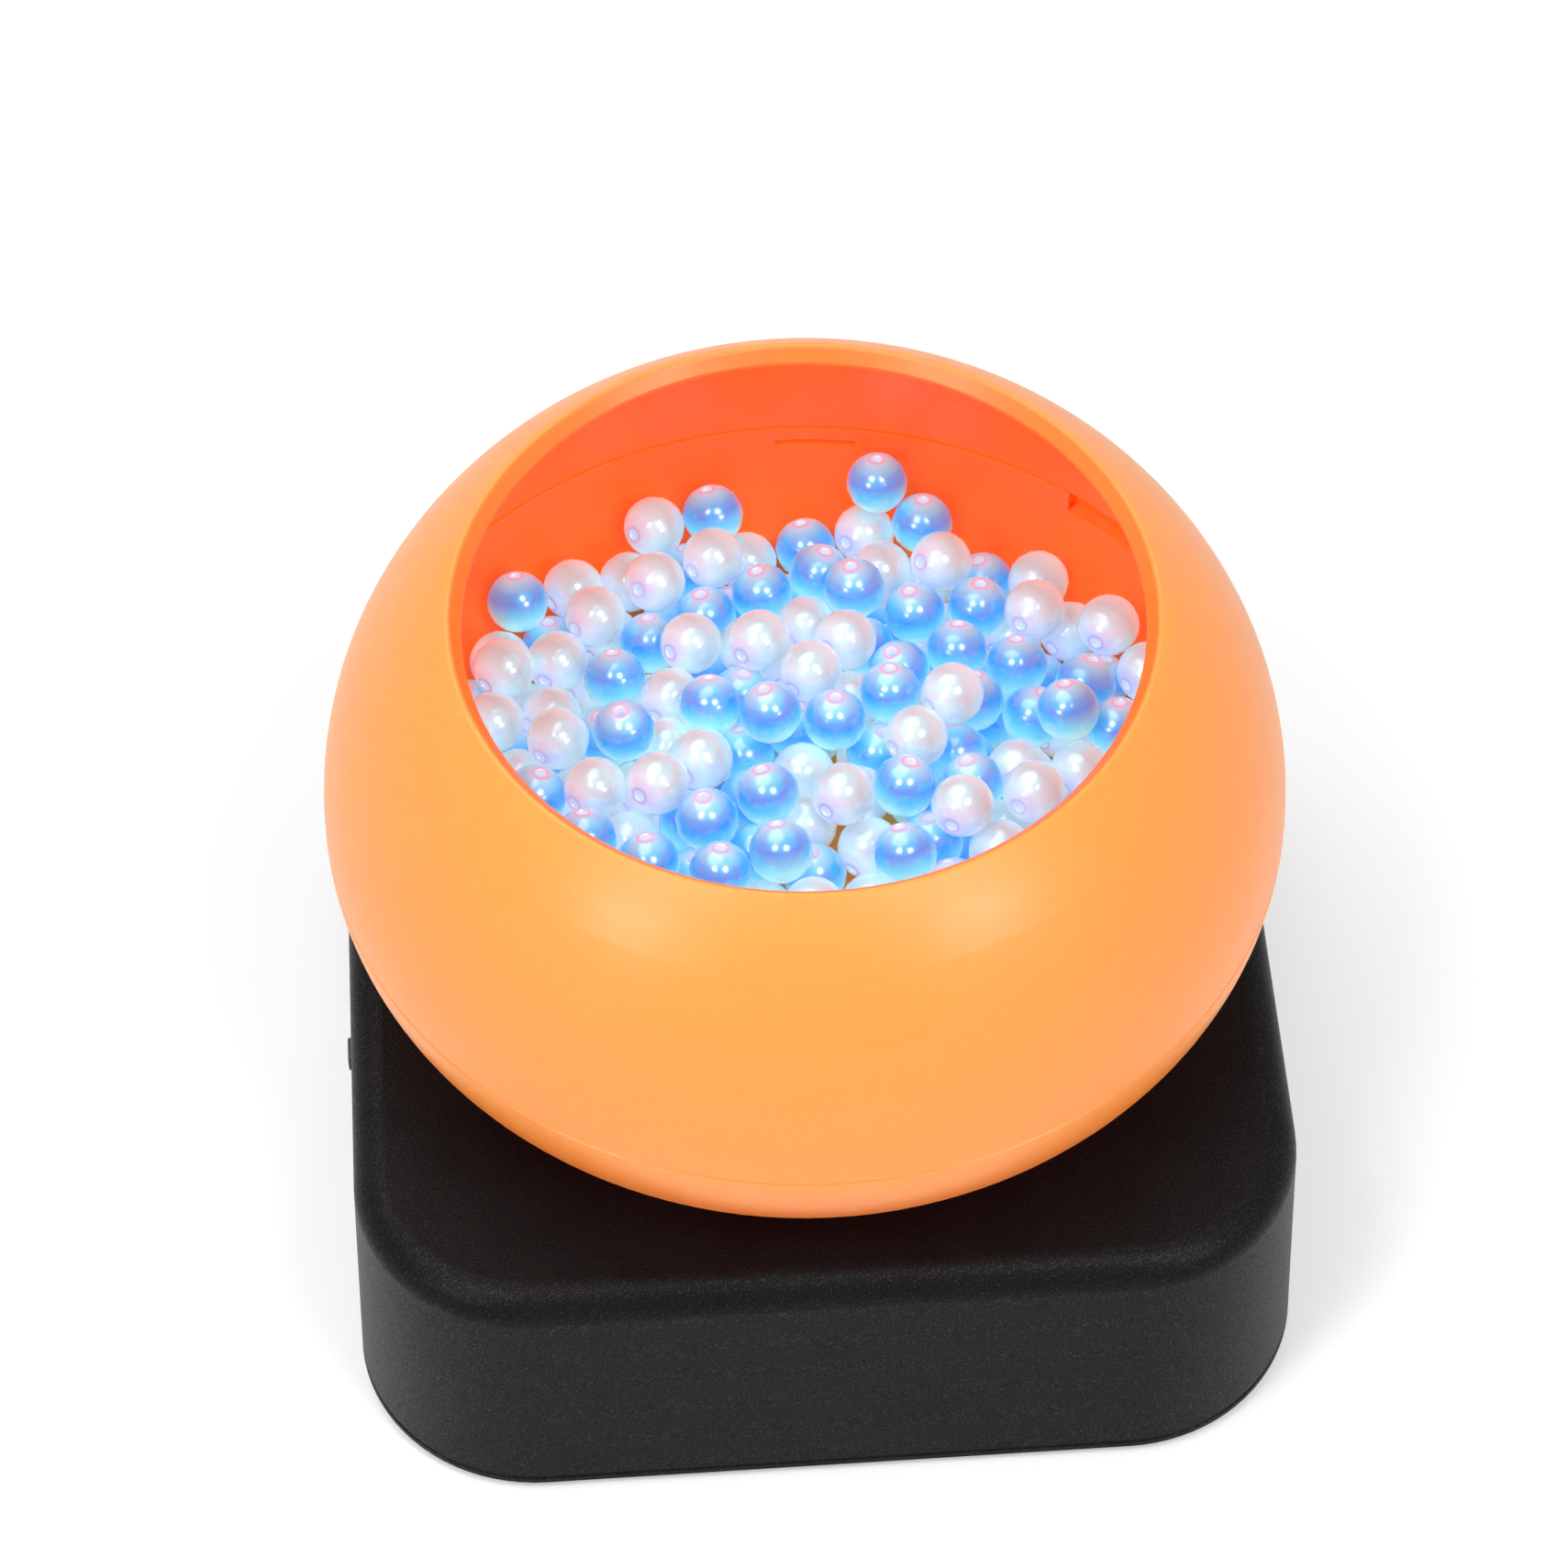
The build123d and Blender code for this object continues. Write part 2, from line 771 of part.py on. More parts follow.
def gear_chassis():
    """Plate that carries the motor and the spindle's lower bush."""
    plate = extrude(Pos(0, 0, chassis_bottom) * chassis_plan(0), amount=chassis_thickness)
    rim = extrude(Pos(0, 0, chassis_top - chassis_thickness / 2) * chassis_plan(0),
                  amount=chassis_thickness / 2 + chassis_rim_height)
    hollow = extrude(Pos(0, 0, chassis_top - chassis_thickness) * chassis_plan(chassis_rim_thickness),
                     amount=chassis_thickness + chassis_rim_height + overrun)
    plate += rim - hollow
    for at in chassis_places():
        clear = chassis_boss_radius + chassis_rim_thickness
        plate -= rod(clear, chassis_top, chassis_top + chassis_rim_height + overrun, at)
        plate += rod(chassis_boss_radius, chassis_top - chassis_thickness / 2, chassis_pad_top, at)
        plate -= pilot(chassis_screw, chassis_bottom, chassis_thickness + 2 * overrun, at, False)
        plate -= rod(chassis_screw[1] + head_clearance, chassis_bottom - overrun, chassis_screw_seat, at)
    plate += rod(lower_boss_radius, chassis_top - chassis_thickness / 2, chassis_top + lower_boss_height)
    plate -= rod(bush_radius, chassis_bottom - overrun, chassis_top + lower_boss_height + overrun)
    motor_at = (motor_x, 0)
    nose = motor_nose_radius + motor_nose_clearance
    plate -= rod(nose, chassis_bottom - overrun, chassis_top + overrun, motor_at)
    for y in (-motor_screw_spacing / 2, motor_screw_spacing / 2):
        plate -= pilot(motor_screw, chassis_top, chassis_thickness + overrun, (motor_x, y), True)
    return plate


def chassis_screws():
    """Four screws from below through the chassis into the housing."""
    driven_up = Rot(180, 0, 0) * screw(chassis_screw)
    return [Pos(x, y, chassis_screw_seat) * driven_up for x, y in chassis_places()]


def motor_case():
    """Round steel can with its raised front bearing."""
    can = rod(motor_radius, motor_bottom, chassis_bottom, (motor_x, 0))
    can = fillet(can.edges().filter_by(GeomType.CIRCLE), motor_round)
    can += rod(motor_nose_radius, chassis_bottom - motor_round, chassis_bottom + motor_nose_height, (motor_x, 0))
    bore = motor_shaft_radius + motor_shaft_clearance
    can -= rod(bore, motor_bottom - overrun, chassis_top + overrun, (motor_x, 0))
    for y in (-motor_screw_spacing / 2, motor_screw_spacing / 2):
        deep = motor_screw[3] - chassis_thickness + pilot_spare / 2
        can -= pilot(motor_screw, chassis_bottom, deep, (motor_x, y), True)
    return can


def motor_end_cap():
    """Moulded rear cap of the motor."""
    bottom = motor_bottom - motor_cap_thickness
    cap = rod(motor_radius - motor_round - motor_cap_inset, bottom, motor_bottom, (motor_x, 0))
    cap = fillet(cap.edges().sort_by(Axis.Z)[0], motor_cap_inset)
    bore = motor_shaft_radius + motor_shaft_clearance
    cap -= rod(bore, motor_bottom - motor_cap_thickness / 2, motor_bottom + overrun, (motor_x, 0))
    return cap - motor_terminals()


def terminal_places():
    """X of the two motor terminals."""
    return [motor_x - terminal_spacing / 2, motor_x + terminal_spacing / 2]


def terminal_height():
    """Height of the middle of the motor's terminals."""
    return motor_bottom - motor_cap_thickness / 2


def motor_terminals():
    """Two tinned tags at the back edge of the rear cap."""
    tags = []
    cap_radius = motor_radius - motor_round - motor_cap_inset
    edge = math.sqrt(cap_radius ** 2 - (terminal_spacing / 2) ** 2)
    for x in terminal_places():
        half = terminal_width / 2
        low = (x - half, edge - terminal_root, terminal_height() - terminal_thickness / 2)
        high = (x + half, edge + terminal_reach, terminal_height() + terminal_thickness / 2)
        tags.append(block(low, high))
    return tags


def motor_screws():
    """Two screws that hold the motor up against the chassis."""
    places = [(motor_x, -motor_screw_spacing / 2), (motor_x, motor_screw_spacing / 2)]
    return [Pos(x, y, chassis_top) * screw(motor_screw) for x, y in places]


def tooth_half_angle(teeth, radius):
    """Half the tooth's angle at a radius on the involute, in degrees."""
    pressure = math.radians(gear_pressure_angle)
    pitch_radius = gear_module * teeth / 2
    base_radius = pitch_radius * math.cos(pressure)
    at_pitch = (math.pi * gear_module / 2 - gear_backlash) / (2 * pitch_radius)
    roll = math.acos(min(1.0, base_radius / radius))
    return math.degrees(at_pitch + involute(pressure) - involute(roll))


def involute(angle):
    """The involute function of an angle in radians."""
    return math.tan(angle) - angle


def gear_outline(teeth, first_tooth):
    """Closed involute outline; the first tooth's middle is at the given angle."""
    pitch_radius = gear_module * teeth / 2
    base_radius = pitch_radius * math.cos(math.radians(gear_pressure_angle))
    tip = pitch_radius + gear_module
    root = pitch_radius - gear_module * (1 + root_gap_share)
    start = max(root, base_radius)
    points = []
    for i in range(teeth):
        middle = first_tooth + 360 * i / teeth
        flank = [start + (tip - start) * s / (flank_steps - 1) for s in range(flank_steps)]
        rise = [(r, middle - tooth_half_angle(teeth, r)) for r in flank]
        fall = [(r, middle + tooth_half_angle(teeth, r)) for r in reversed(flank)]
        foot = tooth_half_angle(teeth, start)
        if root < start:
            rise.insert(0, (root, middle - foot))
            fall.append((root, middle + foot))
        points += rise + fall
    places = [(r * math.cos(math.radians(a)), r * math.sin(math.radians(a))) for r, a in points]
    return make_face(Polyline(*places, close=True))


def drive_gear():
    """Large gear on the spindle, with a thin web, round holes and a long hub."""
    gear = extrude(Pos(0, 0, gear_bottom) * gear_outline(wheel_teeth, 0), amount=gear_face_width)
    rim_inside = wheel_radius - gear_module * (1 + root_gap_share) - wheel_rim_thickness
    web_bottom = gear_bottom + (gear_face_width - wheel_web_thickness) / 2
    web_top = web_bottom + wheel_web_thickness
    gear -= sleeve(rim_inside, wheel_hub_radius, gear_bottom - overrun, web_bottom)
    gear -= sleeve(rim_inside, wheel_hub_radius, web_top, gear_top + overrun)
    hole = rod(wheel_hole_radius, web_bottom - overrun, web_top + overrun, (wheel_hole_ring, 0))
    for cut in around(hole, wheel_hole_count):
        gear -= cut
    gear += rod(wheel_hub_radius, gear_top - gear_face_width / 2, gear_top + wheel_hub_extra)
    return gear - rod(spindle_radius, gear_bottom - overrun, gear_top + wheel_hub_extra + overrun)


def pinion():
    """Small gear on the motor's shaft, in mesh with the large one at rest."""
    half_pitch = 180 / pinion_teeth
    bottom = gear_bottom - (pinion_face_width - gear_face_width) / 2
    gear = extrude(Pos(0, 0, bottom) * gear_outline(pinion_teeth, half_pitch), amount=pinion_face_width)
    gear -= rod(motor_shaft_radius, -overrun, bottom + pinion_face_width + overrun)
    return Pos(motor_x, 0, 0) * gear


def motor_shaft():
    """Steel shaft through the can, up into the pinion."""
    bottom = motor_bottom - motor_cap_thickness / 4
    top = gear_bottom + (pinion_face_width + gear_face_width) / 2
    return rod(motor_shaft_radius, bottom, top, (motor_x, 0))


# Spindle


def flanged_bush(bottom, top, flange_bottom, flange_radius):
    """Plain bearing with a thin flange."""
    bush = rod(bush_radius, bottom, top)
    bush += rod(flange_radius, flange_bottom, flange_bottom + bush_flange_thickness)
    return bush - rod(spindle_radius + running_clearance, bottom - overrun, top + overrun)


def upper_bush():
    """Bearing in the housing's collar, flange up."""
    return flanged_bush(ceiling - upper_boss_depth, upper_bush_top, collar_top, washer_radius)


def lower_bush():
    """Bearing in the chassis, flange down."""
    bottom = chassis_bottom - bush_flange_thickness
    return flanged_bush(bottom, chassis_top + lower_boss_height, bottom, bush_flange_radius)


def thrust_washer():
    """Slippery washer between the bearing and the turning hub."""
    return sleeve(washer_radius, spindle_radius + running_clearance, upper_bush_top, hub_bottom)


def spindle_shaft():
    """Steel spindle with a clip groove and a threaded end."""
    shaft = rod(spindle_radius, spindle_bottom, spindle_top)
    shaft = chamfer(shaft.edges().filter_by(GeomType.CIRCLE), spindle_chamfer)
    deep = spindle_radius - clip_groove_depth
    shaft -= sleeve(spindle_radius + overrun, deep, clip_top - clip_thickness, clip_top)
    radius = hub_screw_size[0] + screw_clearance
    end = hub_screw_seat - hub_screw_size[3] - pilot_spare
    return shaft - rod(radius, end, spindle_top + overrun)


def retaining_clip():
    """Open snap ring in the spindle's groove."""
    deep = spindle_radius - clip_groove_depth
    ring = sleeve(clip_radius, deep, clip_top - clip_thickness, clip_top)
    low = (-clip_radius - overrun, -clip_opening / 2, clip_top - clip_thickness - overrun)
    return ring - block(low, (0, clip_opening / 2, clip_top + overrun))


def hexagon(across_flats):
    """Hexagon with the given distance between opposite sides."""
    return RegularPolygon(across_flats / 2, 6, major_radius=False)


def drive_hub():
    """Round flange that carries the bowl, with a hexagon that turns it."""
    flange = rod(hub_flange_radius, hub_bottom, bowl_bottom)
    flange = fillet(flange.edges().filter_by(GeomType.CIRCLE).sort_by(Axis.Z)[0], parting_bevel)
    prism = extrude(Pos(0, 0, bowl_bottom) * hexagon(hub_across_flats), amount=hub_rise)
    prism = chamfer(prism.faces().sort_by(Axis.Z)[-1].edges(), hub_bevel)
    hub = flange + prism
    hub -= rod(spindle_radius, hub_bottom - overrun, spindle_top)
    hub -= rod(hub_screw_size[0] + screw_clearance, spindle_top - overrun, hub_screw_seat + overrun)
    return hub - rod(hub_screw_size[1] + head_clearance, hub_screw_seat, hub_top + overrun)


def hub_screw():
    """Screw that holds the hub down on the spindle."""
    return Pos(0, 0, hub_screw_seat) * screw(hub_screw_size)


# Bowl


def slope_point(wide, tall, slope, direction):
    """Point of an ellipse where its outward normal has the given slope."""
    turn = math.atan2(tall * math.tan(math.radians(slope)), wide)
    return turn, (wide * math.cos(turn), bowl_equator + direction * tall * math.sin(turn))


def wall_curve(wide, tall, slope, direction):
    """Elliptical stretch of the bowl's wall, from the equator outwards."""
    turn, end = slope_point(wide, tall, slope, direction)
    arc = EllipticalCenterArc((0, bowl_equator), wide, tall, arc_size=direction * math.degrees(turn))
    return arc, end


def lower_side(wide, tall, floor):
    """Lower wall curve: an ellipse, then an arc that ends flat on a floor height."""
    arc, end = wall_curve(wide, tall, lower_slope, -1)
    fall = math.radians(90 - lower_slope)
    reach = (end[1] - floor) / math.tan(fall / 2)
    heading = (-math.cos(fall), -math.sin(fall))
    foot = (end[0] - reach, floor)
    return arc, TangentArc(end, foot, tangent=heading), foot


def dome_points():
    """Edge of the dome over the hub and its foot on the bowl's floor."""
    roof = hub_top + socket_headroom + socket_wall
    dome = hub_across_flats / math.sqrt(3) + socket_clearance + socket_wall
    return (dome, roof), (dome + dome_spread, bowl_bottom + floor_thickness)


def bowl_inside():
    """Inner side of the lower bowl, from the middle of its dome up to the seam."""
    (dome, roof), (foot, floor) = dome_points()
    side, turn, side_foot = lower_side(skirt_inner_radius, lower_depth_axis - lower_wall, floor)
    return [
        Line((0, roof), (dome, roof)),
        Line((dome, roof), (foot, floor)),
        Line((foot, floor), side_foot),
        turn, side,
    ]


def lower_bowl():
    """Bowl that holds the beads, with its hub socket and the skirt of the lock."""
    outer, outer_turn, outer_foot = lower_side(bowl_radius, lower_depth_axis, bowl_bottom)
    (dome, roof), (foot, floor) = dome_points()
    skirt_top = bowl_equator + skirt_height
    edges = [
        outer, outer_turn,
        Line(outer_foot, (0, bowl_bottom)),
        Line((0, bowl_bottom), (0, roof)),
        *bowl_inside(),
        Line((skirt_inner_radius, bowl_equator), (skirt_inner_radius, skirt_top)),
        Line((skirt_inner_radius, skirt_top), (skirt_outer_radius, skirt_top)),
        Line((skirt_outer_radius, skirt_top), (skirt_outer_radius, bowl_equator)),
        Line((skirt_outer_radius, bowl_equator), (bowl_radius, bowl_equator)),
    ]
    bowl = revolve(make_face(Plane.XZ * Curve(edges)), Axis.Z)
    bowl = fillet(ring_edges(bowl, dome, roof), dome_round)
    bowl = fillet(ring_edges(bowl, foot, floor), dome_foot_round)
    bowl = chamfer(ring_edges(bowl, bowl_radius, bowl_equator), seam_bevel)
    bowl -= extrude(Pos(0, 0, bowl_bottom - overrun) * hexagon(hub_across_flats + 2 * socket_clearance),
                    amount=overrun + hub_rise + socket_headroom)
    for cut in around(lock_cut(), lock_count):
        bowl -= cut
    return bowl


def ring_edges(shape, radius, height):
    """Round edges of a shape at one radius and height."""
    near = parting_bevel / 2
    rings = shape.edges().filter_by(GeomType.CIRCLE)
    return rings.filter_by(lambda e: abs(e.radius - radius) < near and abs(e.center().Z - height) < near)


def lock_cut():
    """Window, outer channel and entry notch of one lock, cut into the skirt."""
    top = bowl_equator + lock_slot_height
    inner = skirt_inner_radius - overrun
    outer = skirt_outer_radius + skirt_clearance
    floor = skirt_outer_radius - lock_slot_depth
    channel = sector(floor, outer, bowl_equator, top, window_start, notch_end)
    window = sector(inner, outer, bowl_equator, top, window_start, window_end)
    notch = sector(inner, outer, bowl_equator, bowl_equator + skirt_height + overrun,
                   notch_start, notch_end)
    return channel + window + notch


def upper_bowl():
    """Twist-off ring that narrows to the mouth, with a lug for each lock."""
    slope = math.radians(rim_slope)
    rim_outer = (rim_radius, rim_height)
    rim_inner = (rim_radius - upper_wall * math.cos(slope), rim_height - upper_wall * math.sin(slope))
    heading = (-math.sin(math.radians(upper_slope)), math.cos(math.radians(upper_slope)))
    outer, outer_end = wall_curve(bowl_radius, upper_height_axis, upper_slope, 1)
    inner, inner_end = wall_curve(
        bowl_radius - upper_wall, upper_height_axis - upper_wall, upper_slope, 1)
    lap_radius = skirt_outer_radius + skirt_clearance
    lap_top = bowl_equator + skirt_height + skirt_clearance
    edges = [
        outer, TangentArc(outer_end, rim_outer, tangent=heading),
        Line(rim_outer, rim_inner),
        TangentArc(inner_end, rim_inner, tangent=heading), inner,
        Line((bowl_radius - upper_wall, bowl_equator), (bowl_radius, bowl_equator)),
    ]
    ring = revolve(make_face(Plane.XZ * Curve(edges)), Axis.Z)
    ring = fillet(ring_edges(ring, *rim_outer), rim_round)
    ring = fillet(ring_edges(ring, *rim_inner), rim_inner_round)
    ring -= rod(lap_radius, bowl_equator - overrun, lap_top)
    ring = chamfer(ring_edges(ring, bowl_radius, bowl_equator), seam_bevel)
    gap = (lock_slot_height - lug_height) / 2
    middle = (window_start + window_end) / 2
    lug = sector(lap_radius - lug_depth, lap_radius + lug_depth, bowl_equator + gap,
                 bowl_equator + gap + lug_height, middle - lug_sweep / 2, middle + lug_sweep / 2)
    ring += around(lug, lock_count)
    return ring


# Loose beads


def bead_rings():
    """Radius and height of each ring of beads, in layers that nest in one another."""
    inside = Curve(bowl_inside())
    room = bead_radius + bead_clearance
    nearest = room + bead_radius
    pitch = 2 * bead_radius + bead_gap
    (_, roof), (_, floor) = dome_points()
    height = floor + room
    rings = []
    for layer in range(bead_layer_count):
        found = []
        for step in range(int(bowl_radius / pitch)):
            radius = (step + (layer + 1) % 2 / 2) * pitch
            if inside.distance_to(Vertex(radius, height, 0)) >= room:
                found.append((radius, height))
            elif found:
                break
        rings += found
        height = max(height + math.sqrt(nearest ** 2 - (pitch / 2) ** 2), roof + room)
    return rings


def bead_places():
    """Centre of each bead, ring by ring."""
    nearest = 2 * bead_radius + bead_clearance
    places = []
    for ring, (radius, height) in enumerate(bead_rings()):
        count = int(math.pi / math.asin(nearest / (2 * radius))) if radius else 1
        for turn in range(count):
            angle = 2 * math.pi * (turn / count + ring * bead_stagger_share)
            places.append((radius * math.cos(angle), radius * math.sin(angle), height))
    return places


def beads(blue):
    """The drilled beads of one colour, each turned further than the one before it."""
    ball = Sphere(bead_radius) - Cylinder(bead_bore_radius, 2 * (bead_radius + overrun))
    made = []
    for number, place in enumerate(bead_places()):
        if (number * bead_mix_share % 1 < blue_share) == blue:
            made.append(Pos(*place) * Rot(number * bead_tumble, 0, number * bead_tumble) * ball)
    return made


def blue_beads():
    """Blue pearl beads that lie loose in the bowl."""
    return beads(True)


def white_beads():
    """White pearl beads that lie loose among the blue ones."""
    return beads(False)


# Slide switch


def switch_frame():
    """Steel plate with ears and a moulded body that hold the sliding knob."""
    seat = switch_seat()
    at = (switch_y, switch_height)
    plate = slot_x(switch_plate_length, switch_plate_height, slot_corner,
                   seat, seat + switch_plate_thickness, at)
    front = seat + switch_plate_thickness
    half = switch_body_length / 2
    tall = switch_plate_height / 2
    body = block((front, switch_y - half, switch_height - tall),
                 (front + switch_body_depth, switch_y + half, switch_height + tall))
    room_y = (slider_length + knob_travel) / 2 + slider_clearance
    room_z = slider_height / 2 + slider_clearance
    deep = slider_thickness + 2 * slider_clearance
    body -= block((front - overrun, switch_y - room_y, switch_height - room_z),
                  (front + deep, switch_y + room_y, switch_height + room_z))
    reach = knob_length + knob_travel + knob_side_clearance
    plate -= slot_x(reach, knob_height + knob_side_clearance, slot_corner / 2,
                    seat - overrun, front + overrun, at)
    frame = plate + body
    radius = small_screw[0] + screw_clearance
    for side in (-1, 1):
        place = (switch_y + side * switch_screw_spacing / 2, switch_height)
        frame -= shaft_x(radius, seat - overrun, front + overrun, place)
    back = front + switch_body_depth
    for y, z in switch_pin_places():
        pin = switch_pin_width / 2
        frame += block((back - overrun, y - pin, z - pin), (back + switch_pin_length, y + pin, z + pin))
    return frame


def switch_pin_places():
    """Places of the switch's three solder pins."""
    return [(switch_y + i * switch_pin_pitch, switch_height) for i in (-1, 0, 1)]


def knob_rest():
    """Y of the knob at rest, at the back end of its travel."""
    return switch_y + knob_travel / 2


def switch_knob():
    """Thumb knob that slides along the wall, with its slider inside the body."""
    tip = switch_wall(switch_height) - knob_proud
    front = switch_seat() + switch_plate_thickness + slider_clearance
    at = (knob_rest(), switch_height)
    knob = slot_x(knob_length, knob_height, knob_round, tip, front + slider_thickness / 2, at)
    knob = fillet(knob.faces().sort_by(Axis.X)[0].edges(), knob_round / 2)
    half = slider_length / 2
    tall = slider_height / 2
    slider = block((front, at[0] - half, at[1] - tall), (front + slider_thickness, at[0] + half, at[1] + tall))
    return knob + slider


def switch_screws():
    """Two screws that hold the switch to the wall posts."""
    seat = switch_seat() + switch_plate_thickness
    driven_left = Rot(0, 90, 0) * screw((*small_screw[:3], switch_post_length + base_wall / 3))
    places = [switch_y - switch_screw_spacing / 2, switch_y + switch_screw_spacing / 2]
    return [Pos(seat, y, switch_height) * driven_left for y in places]


# Control board and power socket


def board_places():
    """Where the board is screwed down, at two opposite corners."""
    return [
        (board_left + board_hole_inset, board_front + board_hole_inset),
        (board_right - board_hole_inset, board_back - board_hole_inset),
    ]


def control_board():
    """Circuit board behind the motor."""
    middle = ((board_left + board_right) / 2, (board_front + board_back) / 2)
    board = slab(board_right - board_left, board_back - board_front, board_corner,
                 board_bottom, board_top, middle)
    for at in board_places():
        board -= rod(small_screw[0] + screw_clearance, board_bottom - overrun, board_top + overrun, at)
    return board


def board_screws():
    """Two screws that hold the board to its posts."""
    return [Pos(x, y, board_top) * screw(small_screw) for x, y in board_places()]


def plug_places():
    """Middle of the motor, battery and switch connectors on the board."""
    left = board_left + 2 * board_hole_inset + plug_length / 2
    return {
        "motor": (left, board_front + plug_width / 2 + overrun),
        "battery": (board_right - plug_length / 2 - overrun, box_end + plug_box_gap),
        "switch": (left, board_back - plug_width),
    }


def board_components():
    """Connectors, a capacitor, a chip and a coil, as separate solids."""
    pieces = []
    for x, y in plug_places().values():
        low = (x - plug_length / 2, y - plug_width / 2, board_top)
        pieces.append(block(low, (x + plug_length / 2, y + plug_width / 2, board_top + plug_height)))
    beside = socket_x + socket_width / 2 + 2 * capacitor_radius
    behind = board_back - 2 * capacitor_radius - board_hole_inset
    can = rod(capacitor_radius, board_top, board_top + capacitor_height, (beside, behind))
    pieces.append(fillet(can.edges().sort_by(Axis.Z)[-1], lead_radius))
    middle = (board_front + board_back) / 2
    pieces.append(block((motor_x - chip_length, middle - chip_width / 2, board_top),
                        (motor_x, middle + chip_width / 2, board_top + chip_height)))
    pieces.append(slab(coil_size, coil_size, board_corner, board_top, board_top + coil_height,
                       (beside, board_front + coil_size)))
    return pieces


def socket_face():
    """Y of the power socket's mouth, just inside the back wall."""
    return back_wall(socket_height() + socket_body_height / 2) - base_wall - socket_wall_gap


def power_socket():
    """Moulded body of the power socket with its round bore."""
    face = socket_face()
    low = (socket_x - socket_width / 2, face - socket_depth, board_top)
    body = block(low, (socket_x + socket_width / 2, face, board_top + socket_body_height))
    at = (socket_x, socket_height())
    return body - shaft_y(socket_bore_radius, face - socket_bore_depth, face + overrun, at)


def socket_pin():
    """Centre pin of the power socket."""
    bottom = socket_face() - socket_bore_depth
    at = (socket_x, socket_height())
    pin = shaft_y(socket_pin_radius, bottom, bottom + socket_pin_length, at)
    return fillet(pin.edges().sort_by(Axis.Y)[-1], socket_pin_radius / 2)


# Leads


def lead(route):
    """Insulated wire: straight runs joined by arcs as large as the runs allow."""
    points = [Vector(*p) for p in route]
    runs = [b - a for a, b in zip(points, points[1:])]
    radii = []
    for before, after in zip(runs, runs[1:]):
        turn = math.radians(before.get_angle(after))
        radii.append(bend_share * min(before.length, after.length) / math.tan(turn / 2))
    path = FilletPolyline(*points, radius=radii)
    start = Plane(origin=points[0], z_dir=runs[0])
    return sweep(start * Circle(lead_radius), path=path)


def motor_leads():
    """Two wires from the motor's tags up to the board."""
    x_plug, y_plug = plug_places()["motor"]
    high = board_top + plug_height / 2
    front = y_plug - plug_width / 2
    wires = []
    for x, side in zip(terminal_places(), (-1, 1)):
        tag_end = terminal_reach + math.sqrt(
            (motor_radius - motor_round - motor_cap_inset) ** 2 - (terminal_spacing / 2) ** 2)
        near = x_plug + side * lead_pitch / 2
        step = (front - tag_end) / 4
        wires.append(lead([
            (x, tag_end, terminal_height()),
            (x, tag_end + step, terminal_height()),
            (near, front - step, high),
            (near, front, high),
        ]))
    return wires


def battery_leads():
    """Two wires from the battery box's tails to the board."""
    x_plug, y_plug = plug_places()["battery"]
    high = board_top + plug_height / 2
    side = x_plug + plug_length / 2
    low = box_top + contact_tail_rise / 2
    near_tail, far_tail = sorted((p for p in contact_places() if p["tail"]), key=lambda p: p["x"])
    wires = []
    x, y = near_tail["x"], near_tail["side"] * box_length / 2
    end_y = y_plug - lead_pitch / 2
    wires.append(lead([
        (x, y, low),
        (x, end_y + lead_bow, low),
        (side + lead_pitch * 2, end_y, high),
        (side, end_y, high),
    ]))
    x, y = far_tail["x"], far_tail["side"] * (box_length / 2 - contact_thickness)
    end_y = y_plug + lead_pitch / 2
    wires.append(lead([
        (x, y, low),
        (x - lead_bow / 2, board_front / 4, low),
        (x - lead_bow * 4, end_y, low),
        (near_tail["x"], end_y + lead_bow * 2, low),
        (side + lead_pitch * 2, end_y, high),
        (side, end_y, high),
    ]))
    return wires


def switch_leads():
    """Two wires from the switch's pins along the left wall to the board."""
    x_plug, y_plug = plug_places()["switch"]
    high = board_top + plug_height / 2
    back = switch_seat() + switch_plate_thickness + switch_body_depth + switch_pin_length
    wires = []
    for (y, z), side in zip(switch_pin_places()[1:], (-1, 1)):
        near = y_plug + side * lead_pitch / 2
        out = back + lead_pitch
        wires.append(lead([
            (back, y, z),
            (out, y, z),
            (out, (y + board_front) / 2, z),
            (out + (side + 1) * lead_pitch / 2, near - plug_width, high),
            (x_plug - plug_length / 2 - lead_pitch, near, high),
            (x_plug - plug_length / 2, near, high),
        ]))
    return wires


NODES = {
    "base_housing": base_housing,
    "bottom_cover": bottom_cover,
    "battery_door": battery_door,
    "rubber_feet": rubber_feet,
    "cover_screws": cover_screws,
    "battery_door_screw": battery_door_screw,
    "battery_cells": battery_cells,
    "battery_contacts": battery_contacts,
    "gear_chassis": gear_chassis,
    "chassis_screws": chassis_screws,
    "motor_case": motor_case,
    "motor_end_cap": motor_end_cap,
    "motor_terminals": motor_terminals,
    "motor_screws": motor_screws,
    "motor_shaft": motor_shaft,
    "pinion": pinion,
    "drive_gear": drive_gear,
    "spindle_shaft": spindle_shaft,
    "upper_bush": upper_bush,
    "lower_bush": lower_bush,
    "thrust_washer": thrust_washer,
    "retaining_clip": retaining_clip,
    "drive_hub": drive_hub,
    "hub_screw": hub_screw,
    "lower_bowl": lower_bowl,
    "upper_bowl": upper_bowl,
    "blue_beads": blue_beads,
    "white_beads": white_beads,
    "switch_frame": switch_frame,
    "switch_knob": switch_knob,
    "switch_screws": switch_screws,
    "control_board": control_board,
    "board_components": board_components,
    "board_screws": board_screws,
    "power_socket": power_socket,
    "socket_pin": socket_pin,
    "motor_leads": motor_leads,
    "battery_leads": battery_leads,
    "switch_leads": switch_leads,
}

os.makedirs("parts", exist_ok=True)
for name, make in NODES.items():
    made = make()
    if isinstance(made, list):
        made = Compound(children=made)
    export_step(made, f"parts/{name}.step")
